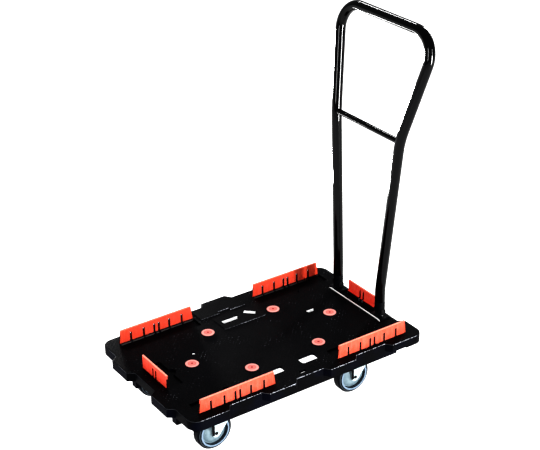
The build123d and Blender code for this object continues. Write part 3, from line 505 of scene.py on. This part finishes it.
# %% [markdown]
# ## Release bar and black fasteners
# The release bar is plated steel rolled along its length. What looks up is painted nearly white, the plate's
# own pale tone with a painted highlight in it, and every other side is painted black as shade. Two materials
# could be given out face by face. Here the surface's direction mixes them, so only what looks up is pale,
# also when the bar moves. Pins, axles and the handle's screws are blackened, a thin dark oxide that is dull
# and brown in patches.

# %% Bar and fastener finishes
bar_finish = Finish("release_bar_plate", (0.92, 0.93, 0.92), 0.35, metallic=0.15)
rolled = bar_finish.noise(1.0, 2, 0.5, (900, 30, 900))
plate_with_highlight = bar_finish.mix(rolled.between(0.5, 0.7) * 0.4, (0.94, 0.95, 0.94), (0.70, 0.72, 0.72))
# Painted shade: every side that doesn't look up is black; the pale top carries a painted highlight.
shade_below_top = 1 - bar_finish.facing()[2].between(0.55, 0.8)
bar_finish.feed("Base Color", bar_finish.mix(shade_below_top, plate_with_highlight, (0.012, 0.012, 0.012)))
bar_finish.feed("Roughness", 0.28 + rolled * 0.2)
bar_finish.dress("release_bar")

oxide_finish = Finish("fastener_black_oxide", (0.004, 0.004, 0.0045), 0.4, specular_ior_level=0.12)
tarnish = oxide_finish.noise(600, 3)
blackened, browned = (0.003, 0.003, 0.004), (0.014, 0.011, 0.009)
oxide_finish.feed("Base Color", oxide_finish.mix(tarnish.between(0.5, 0.75), blackened, browned))
oxide_finish.feed("Roughness", 0.34 + tarnish * 0.2)
oxide_finish.dress("bracket_screws", "flap_pins", "pivot_pins", *at_casters("axle"))
print("bar and fasteners dressed")

# %% [markdown]
# ## Wheels
# The wheel is a blue-grey nylon centre in a black rubber tread. The centre is painted darker outwards as
# shade, its rim has a bluer ring, and the wall of the recess is painted black as shade. Four copies of a
# finish, each with its own middle, would do. But all four axles lie at one height and at the same distance
# either side of one line, so one sum gives the distance from the nearest axle, and that distance and the
# surface's direction choose the colour.

# %% Axle places
hub_boxes = [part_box(f"hub_{caster}") for caster in casters]
axle_places = [(low + high) / 2 for low, high in hub_boxes]
middle_x = sum(place.x for place in axle_places) / len(axle_places)
reach_x = max(place.x for place in axle_places) - middle_x
axle_z = axle_places[0].z


def from_axle(finish):
    """Distance from the nearest axle."""
    x, _, z = finish.axes()
    return (abs(x - middle_x) - reach_x).across(z - axle_z)


print("axles at", round((middle_x - reach_x) / mm, 1), "and", round((middle_x + reach_x) / mm, 1))

# %% Hub finish
hub_finish = Finish("hub_nylon", (0.30, 0.39, 0.44), 0.4, specular_ior_level=0.3)
haze = hub_finish.noise(60, 3)
radius = from_axle(hub_finish)
side_on = abs(hub_finish.facing()[1])
boss_edge, recess_edge, ring_edge = 18 * mm, 33 * mm, 36.6 * mm
web = hub_finish.mix(haze.between(0.35, 0.7), (0.19, 0.27, 0.31), (0.26, 0.35, 0.39))
# Painted shade: the web is darker towards the recess.
shaded = hub_finish.mix(radius.between(boss_edge, recess_edge) * 0.45, web, (0.13, 0.20, 0.25))
ring = radius.between(ring_edge - 0.8 * mm, ring_edge) * side_on.between(0.6, 0.8)
ringed = hub_finish.mix(ring, shaded, (0.19, 0.27, 0.36))
# Painted shade: the wall of the recess is black all round.
recess_shade = radius.between(recess_edge - 1.5 * mm, recess_edge) * (1 - side_on.between(0.35, 0.6))
hub_finish.feed("Base Color", hub_finish.mix(recess_shade, ringed, (0.004, 0.009, 0.016)))
hub_finish.feed("Roughness", 0.3 + haze * 0.2)
hub_finish.bump(hub_finish.noise(1200, 2), 0.04 * mm)
hub_finish.dress(*at_casters("hub"))
print("hubs dressed:", len(hub_boxes))

# %% [markdown]
# ## Treads
# Rubber is the dullest black of the cart. Floor dust lies on it in soft patches, and a painted highlight
# runs as a grey band round the narrow bead where the tread meets the rim. The band could be a ring of its
# own, but the distance from the axle is at hand already, and a band of it is enough.

# %% Tread finish
tread_finish = Finish("tread_rubber", (0.003, 0.0035, 0.005), 0.7, specular_ior_level=0.05)
crumb = tread_finish.noise(1500, 3)
dusty = tread_finish.noise(45, 3).between(0.5, 0.75)
radius = from_axle(tread_finish)
bead_low, bead_high = 43.6 * mm, 46.0 * mm
# Painted highlight: a grey band round the bead.
bead_highlight = radius.between(bead_low, bead_low + 0.8 * mm) * (1 - radius.between(bead_high - 0.6 * mm, bead_high))
rubber = tread_finish.mix(dusty * 0.4, (0.002, 0.0028, 0.005), (0.012, 0.013, 0.015))
tread_finish.feed("Base Color", tread_finish.mix(bead_highlight * 0.8, rubber, (0.06, 0.075, 0.085)))
tread_finish.feed("Roughness", 0.55 + dusty * 0.2)
tread_finish.bump(crumb, 0.1 * mm)
tread_finish.dress(*at_casters("tyre"))
undressed = [name for name, node in nodes.items() if node.data.materials[0].name in ready_made]
print("solids still in their ready-made finish:", undressed)

# %% [markdown]
# ## A workshop for small repeated forms
# Ribs, lips and pips repeat hundreds of times, and placing them by hand would take a day. A Geometry Nodes
# tree is a recipe instead: it is built once, its sizes are named inputs, and each piece that uses it gives
# its own sizes. The copies are made real at the end, so that the result is an ordinary mesh.


# %% Geometry recipes
def place_in_scene(name, data):
    """A new object that holds this mesh, lamp or camera, in the scene."""
    thing = bpy.data.objects.new(name, data)
    bpy.context.scene.collection.objects.link(thing)
    return thing


class Recipe(Maker):
    """A Geometry Nodes tree with named sizes."""

    def __init__(self, name, **sizes):
        super().__init__(bpy.data.node_groups.new(name, "GeometryNodeTree"))
        self.identifiers = {}
        for size, kind in sizes.items():
            socket = self.tree.interface.new_socket(size, in_out="INPUT", socket_type=f"NodeSocket{kind}")
            self.identifiers[size] = socket.identifier
        self.tree.interface.new_socket("Geometry", in_out="OUTPUT", socket_type="NodeSocketGeometry")
        self.entry = self.tree.nodes.new("NodeGroupInput")

    def size(self, name):
        """One of the named sizes."""
        return Value(self, self.entry.outputs[name])

    def vector(self, x=0.0, y=0.0, z=0.0):
        """Three values as one vector."""
        return self.node("ShaderNodeCombineXYZ", values={0: x, 1: y, 2: z})

    def axes(self):
        """The three coordinates of each point."""
        return self.split(self.node("GeometryNodeInputPosition"))

    def join(self, *parts):
        """Several geometries as one."""
        made = self.tree.nodes.new("GeometryNodeJoinGeometry")
        for part in reversed(parts):
            self.tree.links.new(part.socket, made.inputs[0])
        return Value(self, made.outputs[0])

    def without(self, geometry, doomed):
        """Drop the points for which doomed is above zero."""
        return self.node("GeometryNodeDeleteGeometry", {"domain": "POINT"}, {0: geometry, 1: doomed})

    def row(self, count, start, step):
        """Points along X, the first at start and the others step apart."""
        return self.node("GeometryNodeMeshLine", values={
            "Count": count, "Start Location": self.vector(start), "Offset": self.vector(step)})

    def copies(self, points, form):
        """Stand one form on every point."""
        return self.node("GeometryNodeInstanceOnPoints", values={"Points": points, "Instance": form})

    def serve(self, geometry, material):
        """End the tree: real copies, one material."""
        real = self.node("GeometryNodeRealizeInstances", values={0: geometry})
        dressed = self.node("GeometryNodeSetMaterial", values={"Geometry": real, "Material": material})
        leave = self.tree.nodes.new("NodeGroupOutput")
        self.connect(leave.inputs[0], dressed)

    def make(self, name, place=Matrix.Identity(4), **sizes):
        """Run the recipe once and return the plain mesh piece, with its place in its mesh."""
        blank = place_in_scene(f"{name}_blank", bpy.data.meshes.new(f"{name}_blank"))
        modifier = blank.modifiers.new("recipe", "NODES")
        modifier.node_group = self.tree
        for size, value in sizes.items():
            modifier[self.identifiers[size]] = value
        blank.update_tag()
        ready = blank.evaluated_get(bpy.context.evaluated_depsgraph_get())
        mesh = bpy.data.meshes.new_from_object(ready)
        mesh.name = name
        mesh.transform(place)
        blank.modifiers.clear()
        bpy.data.objects.remove(blank)
        return place_in_scene(name, mesh)


print("recipes ready")

# %% [markdown]
# ## The hinged flaps as a place to work
# Every flap has two slots beside its middle tongue, and the long ones have two more on either side at an even
# pitch. Ribs, lips and webs could be placed flap by flap from the cart's middle. They are drawn in a flap's
# own frame instead, which starts on its hinge line with X along the flap, Y outwards and Z up, so that one
# recipe fits all six. One function gives the points of all the slots to each recipe.

# %% Flap sizes and slot points
barrel, thickness, slot_width, slot_high = 4.6 * mm, 4.5 * mm, 4.4 * mm, 24.0 * mm
long_flap = 150 * mm
flap_joints = {joint["child"]: joint for joint in frame["joints"] if joint["child"].startswith("flap_")}


def flap_frame(joint):
    """The flap's own frame at its hinge: X along it, Y outwards, Z up."""
    along, up = Vector(joint["axis"]), Vector((0, 0, 1))
    turn = Matrix((along, up.cross(along), up)).transposed().to_4x4()
    return Matrix.Translation(joint["pos_m"]) @ turn


def flap_length(flap):
    """The longer side of a flap."""
    low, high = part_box(flap)
    return max(high.x - low.x, high.y - low.y)


def slot_points(recipe):
    """A point under the middle of each slot; the pitch's own middle point is dropped for the tongue's two."""
    side_slots = recipe.size("Slots")
    pitched = recipe.row(side_slots * 2 + 1, side_slots * (-slot_pitch), slot_pitch)
    pitched = recipe.without(pitched, abs(recipe.axes()[0]) < slot_pitch / 2)
    return recipe.join(pitched, recipe.row(2, -tongue_slots, 2 * tongue_slots))


print("flaps:", {flap: round(flap_length(flap) / mm) for flap in flap_joints})

# %% [markdown]
# ## Ribs on the flaps
# Both faces of a flap carry fine upright ribs that stiffen it and give the fingers hold. A bump could fake
# them, but it would be gone where the flap is seen along its face. They are one line of points with a thin
# blade on each, and the points too near a slot are dropped. A moulded rib has to leave its mould, so the
# blade is pulled in at its faces; both faces lie at the same depth, so it is narrowed evenly, to seven
# tenths of its width, and has no taper.

# %% Rib recipe
rib_pitch, rib_wide, rib_deep, rib_foot = 3.3 * mm, 0.9 * mm, 0.5 * mm, 2.5 * mm
slot_clearance, rib_taper = 4.8 * mm, 0.3
draft = rib_taper / (rib_deep / 2)
ribs = Recipe("flap_ribs", Length="Float", Rise="Float", Pitch="Float", Slots="Int", Finish="Material")
pitch, rise = ribs.size("Pitch"), ribs.size("Rise")
count = ribs.node("FunctionNodeFloatToInt", values={0: ribs.size("Length") / pitch})
feet = ribs.row(count, pitch / 2 - ribs.size("Length") / 2, pitch)
from_middle = abs(ribs.axes()[0])
step = (from_middle / slot_pitch).rounded()
beside_slot = (abs(from_middle - step * slot_pitch) < slot_clearance) * (step > 0.5)
beside_slot = beside_slot * (step < ribs.size("Slots") + 0.5)
beside_tongue = abs(from_middle - tongue_slots) < slot_clearance
feet = ribs.without(feet, beside_slot + beside_tongue)
blade = ribs.node("GeometryNodeMeshCube", values={"Size": ribs.vector(rib_wide, rib_deep, rise)})
x, y, z = ribs.axes()
blade = ribs.node("GeometryNodeSetPosition", values={
    0: blade, "Position": ribs.vector(x * (1 - abs(y) * draft), y, z),
    "Offset": ribs.vector(0, 0, rise / 2 + rib_foot)})
print("rib pitch", round(rib_pitch / mm, 1), "mm")

# %% [markdown]
# ## Lips round the slots
# A rounded lip runs round each slot, because a bare slot would tear. It could be raised out of the flap's own
# mesh, but then each slot would need its own care. It is a path of four points, up one side, across and down
# the other, with a round section swept along it and pressed half flat. It stands a little off the slot's
# edge, and the band between the two carries a painted shadow.

# %% Lip recipe
margin, lip = 0.9 * mm, 0.5 * mm
lip_foot, lip_rise = barrel + 1.2 * mm, slot_high + 0.2 * mm
corner = ribs.node("GeometryNodeInputIndex")
upper = abs(corner - 1.5) < 1.0
side = (corner > 1.5) * 2 - 1
path = ribs.node("GeometryNodeMeshLine", values={"Count": 4})
path = ribs.node("GeometryNodeSetPosition", values={
    0: path, "Position": ribs.vector(side * (slot_width / 2 + margin + lip), 0, lip_foot + upper * lip_rise)})
path = ribs.node("GeometryNodeMeshToCurve", values={0: path})
section = ribs.node("GeometryNodeCurvePrimitiveCircle", values={"Resolution": 8, "Radius": lip})
swept = ribs.node("GeometryNodeCurveToMesh", values={0: path, 1: section, "Fill Caps": True})
swept = ribs.node("GeometryNodeTransform", values={0: swept, "Scale": (1.0, 0.5, 1.0)})
both = ribs.join(ribs.copies(feet, blade), ribs.copies(slot_points(ribs), swept))
outer = ribs.node("GeometryNodeTransform", values={0: both, "Translation": (0, barrel, 0)})
inner = ribs.node("GeometryNodeTransform", values={0: both, "Translation": (0, barrel - thickness, 0)})
ribs.serve(ribs.join(outer, inner), ribs.size("Finish"))
print("rib and lip nodes:", len(ribs.tree.nodes))

# %% [markdown]
# ## Dressing the ribs
# Each flap's ribs take a tone of its colour, a little paler where hands reach them. They could share the
# flap's finish, but its painted shade on the slots' walls goes by direction, and the ribs' sides face the
# same way. The ribs stop short of the flap's ends and of its top edge with the painted highlight.


# %% Ribs and lips on every flap
def rib_finish(name, colour, rubbed_colour):
    """The flap's plastic on its ribs and lips."""
    finish = Finish(name, colour, 0.4, specular_ior_level=0.15)
    rubs_and_glints = finish.noise(1.0, 3, 0.6, (90, 90, 40))
    finish.feed("Base Color", finish.mix(rubs_and_glints.between(0.40, 0.66), colour, rubbed_colour))
    finish.feed("Roughness", 0.34 + rubs_and_glints * 0.2)
    return finish


near_ribs = rib_finish("rib_orange", (0.80, 0.14, 0.08), (0.88, 0.30, 0.21))
far_ribs = rib_finish("rib_red_orange", (0.74, 0.065, 0.030), (0.78, 0.12, 0.08))
rear_ribs = rib_finish("rib_red", (0.72, 0.045, 0.03), (0.80, 0.17, 0.13))
flap_looks = {
    "flap_near_front": (near_ribs, "flap_orange"), "flap_near_rear": (near_ribs, "flap_orange"),
    "flap_far_front": (far_ribs, "flap_red_orange"), "flap_far_rear": (far_ribs, "flap_red_orange"),
    "flap_front": (far_ribs, "flap_red_orange"), "flap_rear": (rear_ribs, "flap_red")}
bare_top, long_end_gap, short_end_gap = 6.0 * mm, 14 * mm, 4 * mm
for flap, (finish, slot_name) in flap_looks.items():
    joint = flap_joints[flap]
    length = flap_length(flap)
    is_long = length > long_flap
    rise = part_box(flap)[1].z - joint["pos_m"][2] - bare_top
    end_gap = long_end_gap if is_long else short_end_gap
    piece = ribs.make(f"{flap}_ribs", flap_frame(joint), Length=length - end_gap, Rise=rise, Pitch=rib_pitch,
                      Slots=long_slots if is_long else 0, Finish=finish.material)
    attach(piece, flap)
    print(flap, "ribs:", len(piece.data.polygons), "faces")

# %% [markdown]
# ## Webs in the slots
# A thin black web closes most of each slot and stands in for the shade inside it, a dark sheet where there is
# only shade. It could be cut to the slot's exact outline, but nobody sees its edges: a block that reaches a
# little into the slot's walls does. It sits in the middle of the flap's thickness, is thinner at its top and
# stops short of the slot's top.

# %% Slot webs
web_thick, web_bite, top_share, web_low = 1.4 * mm, 0.2 * mm, 0.6, 8.2 * mm
long_web_high, short_web_high = 26.0 * mm, 28.0 * mm
# The black webs stand in for the shade inside each slot.
webs = Recipe("slot_webs", Low="Float", High="Float", Slots="Int", Finish="Material")
low, high = webs.size("Low"), webs.size("High")
plate = webs.node("GeometryNodeMeshCube", values={
    "Size": webs.vector(slot_width + web_bite, web_thick, high - low)})
x, y, z = webs.axes()
plate = webs.node("GeometryNodeSetPosition", values={
    0: plate, "Position": webs.vector(x, y * (1 - (z > 0) * (1 - top_share)), z),
    "Offset": webs.vector(0, barrel - thickness / 2, (high + low) / 2)})
webs.serve(webs.copies(slot_points(webs), plate), webs.size("Finish"))
for flap, joint in flap_joints.items():
    is_long = flap_length(flap) > long_flap
    piece = webs.make(f"{flap}_webs", flap_frame(joint), Low=web_low,
                      High=long_web_high if is_long else short_web_high,
                      Slots=long_slots if is_long else 0, Finish=foot_finish.material)
    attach(piece, flap)
print("slot webs on", len(flap_joints), "flaps")

# %% [markdown]
# ## Cups under the finger scoops
# A fingertip reaches under a lying flap through a round scoop in the deck. A shallow cup below closes each
# scoop. Two cylinders and a cut would give it, with untidy faces. It is half a turned bowl instead: a wall
# and a floor drawn as a flat outline and spun half way round. Only the flaps that lie in pockets of the deck
# have a scoop, and their hinges are below its top.


# %% Scoop cups
def scoop_cup(name, centre, outward):
    """Half bowl under one finger scoop, open towards the flap's pocket."""
    inside, outside = 13.05 * mm, 15.05 * mm
    brim, floor, base = -2.0 * mm, -5.15 * mm, -7.0 * mm
    outline = [(0, floor), (inside, floor), (inside, brim), (outside, brim), (outside, base), (0, base)]
    build = bmesh.new()
    side = Vector((0, 0, 1)).cross(outward)
    corners = [build.verts.new(centre + side * reach + Vector((0, 0, level))) for reach, level in outline]
    face = build.faces.new(corners)
    bmesh.ops.spin(build, geom=[face, *face.edges, *face.verts], cent=centre, axis=(0, 0, 1),
                   angle=math.pi, steps=24)
    bmesh.ops.remove_doubles(build, verts=build.verts, dist=0.01 * mm)
    bmesh.ops.recalc_face_normals(build, faces=build.faces)
    mesh = bpy.data.meshes.new(name)
    build.to_mesh(mesh)
    build.free()
    mesh.materials.append(deck_finish.material)
    piece = place_in_scene(name, mesh)
    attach(piece, "platform")
    return piece


pocket_gap = 0.4 * mm
for flap, joint in flap_joints.items():
    hinge = Vector(joint["pos_m"])
    if hinge.z < 0:
        outward = Vector((0, 0, 1)).cross(Vector(joint["axis"]))
        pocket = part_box(flap)[1].z - hinge.z + pocket_gap
        middle = Vector((hinge.x, hinge.y, 0)) - outward * pocket
        cup = scoop_cup(f"{flap}_cup", middle, outward)
        print(cup.name, len(cup.data.polygons), "faces")

# %% [markdown]
# ## Grip pips on the deck
# Low pips all over the deck's top give a load some hold. Scattering them at random would look like dirt, so
# two grids of points, one shifted by half a step, are laid over the deck, and a ray is dropped from each
# point. A pip stands only where the ray and four more round it meet the flat top, so that none lands in a
# pocket, on a hole's edge or under a disc.

# %% Pip recipe
ray_start, ray_length, level_slack = 3 * mm, 6 * mm, 0.02 * mm
pip_sunk, pip_top_share, clear_share = 0.2 * mm, 0.55, 1.8
pips = Recipe("deck_pips", Deck="Object", Length="Float", Width="Float", Pitch="Float", Radius="Float",
              Height="Float", Finish="Material")
pitch, radius = pips.size("Pitch"), pips.size("Radius")
across = pips.node("FunctionNodeFloatToInt", values={0: pips.size("Length") / pitch + 1})
along = pips.node("FunctionNodeFloatToInt", values={0: pips.size("Width") / pitch + 1})
grid = pips.node("GeometryNodeMeshGrid", values={
    "Size X": (across - 1) * pitch, "Size Y": (along - 1) * pitch, "Vertices X": across, "Vertices Y": along})
half_step = pips.vector(pitch / 2, pitch / 2)
points = pips.join(grid, pips.node("GeometryNodeTransform", values={0: grid, "Translation": half_step}))
deck_shape = pips.node("GeometryNodeObjectInfo", values={"Object": pips.size("Deck")}, output=4)
x, y, _ = pips.axes()
reach = radius * clear_share
ray_places = ((0, 0), (1, 0), (-1, 0), (0, 1), (0, -1))
rays_on_top = 0
for away_x, away_y in ray_places:
    source = pips.vector(x + reach * away_x, y + reach * away_y, ray_start)
    hit = pips.node("GeometryNodeRaycast", values={
        "Target Geometry": deck_shape, "Source Position": source, "Ray Direction": (0, 0, -1),
        "Ray Length": ray_length}, output=1)
    found = Value(pips, hit.socket.node.outputs[0])
    rays_on_top = found * (abs(pips.split(hit)[2]) < level_slack) + rays_on_top
points = pips.without(points, rays_on_top < len(ray_places) - 0.5)
pip = pips.node("GeometryNodeMeshCone", values={
    "Vertices": 8, "Radius Top": radius * pip_top_share, "Radius Bottom": radius,
    "Depth": pips.size("Height") + pip_sunk})
low_pip = pips.node("GeometryNodeTransform", values={0: pip, "Translation": (0, 0, -pip_sunk)})
pips.serve(pips.copies(points, low_pip), pips.size("Finish"))
print("pip nodes:", len(pips.tree.nodes))

# %% [markdown]
# ## Dressing the pips
# Some pips are painted pale grey in clusters, as painted glints. Each pip could draw its own grey, but the
# glints don't fall evenly: a broad noise picks the clusters, and a fine one the pips in them.

# %% Pips on the deck
pip_finish = Finish("pip_polypropylene", (0.0008, 0.001, 0.0018), 0.5, specular_ior_level=0.04)
# Painted glints: some pips are pale grey in clusters.
rubs_and_glints = pip_finish.noise(14, 3).between(0.50, 0.66) * pip_finish.noise(420, 1).between(0.52, 0.70)
pip_finish.feed("Base Color", pip_finish.mix(rubs_and_glints, (0.0008, 0.001, 0.0018), (0.22, 0.23, 0.26)))
pip_finish.feed("Roughness", 0.5 - rubs_and_glints * 0.15)
deck_low, deck_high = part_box("deck")
pip_piece = pips.make("deck_grip_pips", Deck=nodes["deck"], Length=deck_high.x - deck_low.x,
                      Width=deck_high.y - deck_low.y, Pitch=12.0 * mm, Radius=1.3 * mm, Height=0.35 * mm,
                      Finish=pip_finish.material)
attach(pip_piece, "platform")
print("grip pips:", len(pip_piece.data.polygons), "faces")

# %% [markdown]
# ## Light table
# A cart this plain is shown on a light table, a white floor that glows a little, so that nearly no shadow
# falls on it. Strong lamps from all sides would whiten a plain floor too, but they would grey the black
# plastic. It lies under the wheels and is many times as large as the cart.


# %% Floor
def make_floor(height, reach):
    """A flat pale floor, much larger than the cart."""
    mesh = bpy.data.meshes.new("floor")
    corners = [(x * reach, y * reach, height) for x, y in ((-1, -1), (1, -1), (1, 1), (-1, 1))]
    mesh.from_pydata(corners, [], [(0, 1, 2, 3)])
    floor = place_in_scene("floor", mesh)
    finish = Finish("floor_light_table", (0.45, 0.45, 0.45), 0.9, specular_ior_level=0.1,
                    emission_color=(1.0, 1.0, 1.0, 1.0), emission_strength=0.92)
    fibre = finish.noise(40, 2)
    finish.feed("Roughness", 0.85 + fibre * 0.1)
    mesh.materials.append(finish.material)


floor_reach = 14
make_floor(solid_box[0].z, floor_reach)
print("floor at", round(solid_box[0].z, 3))

# %% [markdown]
# ## Lamps
# The black paint has no colour of its own, so what reads as its shape is the reflection of the long soft
# lamps beside it. Two more lamps add no light to a dull surface: they are there for the paint to mirror, as
# white cards in a studio are, and draw the thin streaks along the tube. The view's look has a high contrast,
# which keeps black plastic black beside so bright a floor.


# %% Lamps and view
def make_lamp(name, place, aim, size, power, streak=False):
    """A soft rectangular lamp that faces a point; a streak lamp shows only where the paint mirrors it."""
    lamp = bpy.data.lights.new(name, "AREA")
    lamp.shape = "RECTANGLE"
    lamp.size, lamp.size_y = size
    lamp.energy = power
    holder = place_in_scene(name, lamp)
    holder.location = place
    holder.rotation_euler = (Vector(aim) - Vector(place)).to_track_quat("-Z", "Y").to_euler()
    holder.visible_diffuse = not streak
    holder.visible_camera = False


world = bpy.data.worlds.new("studio")
bpy.context.scene.world = world
world.use_nodes = True
sky = world.node_tree.nodes["Background"]
sky.inputs["Color"].default_value = (1.0, 1.0, 1.0, 1.0)
sky.inputs["Strength"].default_value = 0.30
bpy.context.scene.view_settings.view_transform = "Standard"
bpy.context.scene.view_settings.look = "High Contrast"
make_lamp("key", (0.95, -3.0, 1.15), (0.1, 0, 0.2), (0.12, 2.2), 95)
make_lamp("fill", (-3.0, -1.0, 1.7), (0.0, 0, 0.1), (0.25, 1.6), 74)
make_lamp("strip", (2.4, 1.0, 1.4), (0.3, 0, 0.4), (0.25, 1.8), 30)
make_lamp("rim_high", (1.1, 2.2, 2.6), (0.38, 0, 0.8), (1.6, 0.08), 30)
make_lamp("rim_low", (0.2, 1.1, -0.10), (0.38, 0, 0.8), (1.2, 0.04), 10)
make_lamp("streak_front", (0.72, -3.0, 0.55), (0.36, 0, 0.6), (0.26, 1.5), 340, streak=True)
make_lamp("streak_back", (0.48, 2.1, 0.08), (0.36, 0, 0.6), (0.40, 0.26), 50, streak=True)
print("lamps:", len(bpy.data.lights))

# %% [markdown]
# ## Camera
# A long lens from well back keeps the deck's sides nearly parallel. The camera could be placed by hand. Here
# its place is worked out from the point that it looks at, a distance and three angles, so that each can be
# changed alone: it stands beyond the near front corner, looks down and leans by one degree.

# %% Camera
sensor_width, focal_length = 36, 93.39
aim = Vector((0.087, 0.086, 0.272))
distance, azimuth, elevation, roll = 3.680, math.radians(-34.03), math.radians(26.95), math.radians(-1.0)
back = Vector((math.sin(azimuth) * math.cos(elevation), -math.cos(azimuth) * math.cos(elevation),
               math.sin(elevation)))
camera = bpy.data.cameras.new("camera")
camera.sensor_width = sensor_width
camera.lens = focal_length
holder = place_in_scene("camera", camera)
holder.location = aim + back * distance
turn = (-back).to_track_quat("-Z", "Y").to_matrix().to_4x4() @ Matrix.Rotation(roll, 4, "Z")
holder.rotation_euler = turn.to_euler()
bpy.context.scene.camera = holder
print("camera", [round(part, 3) for part in holder.location])
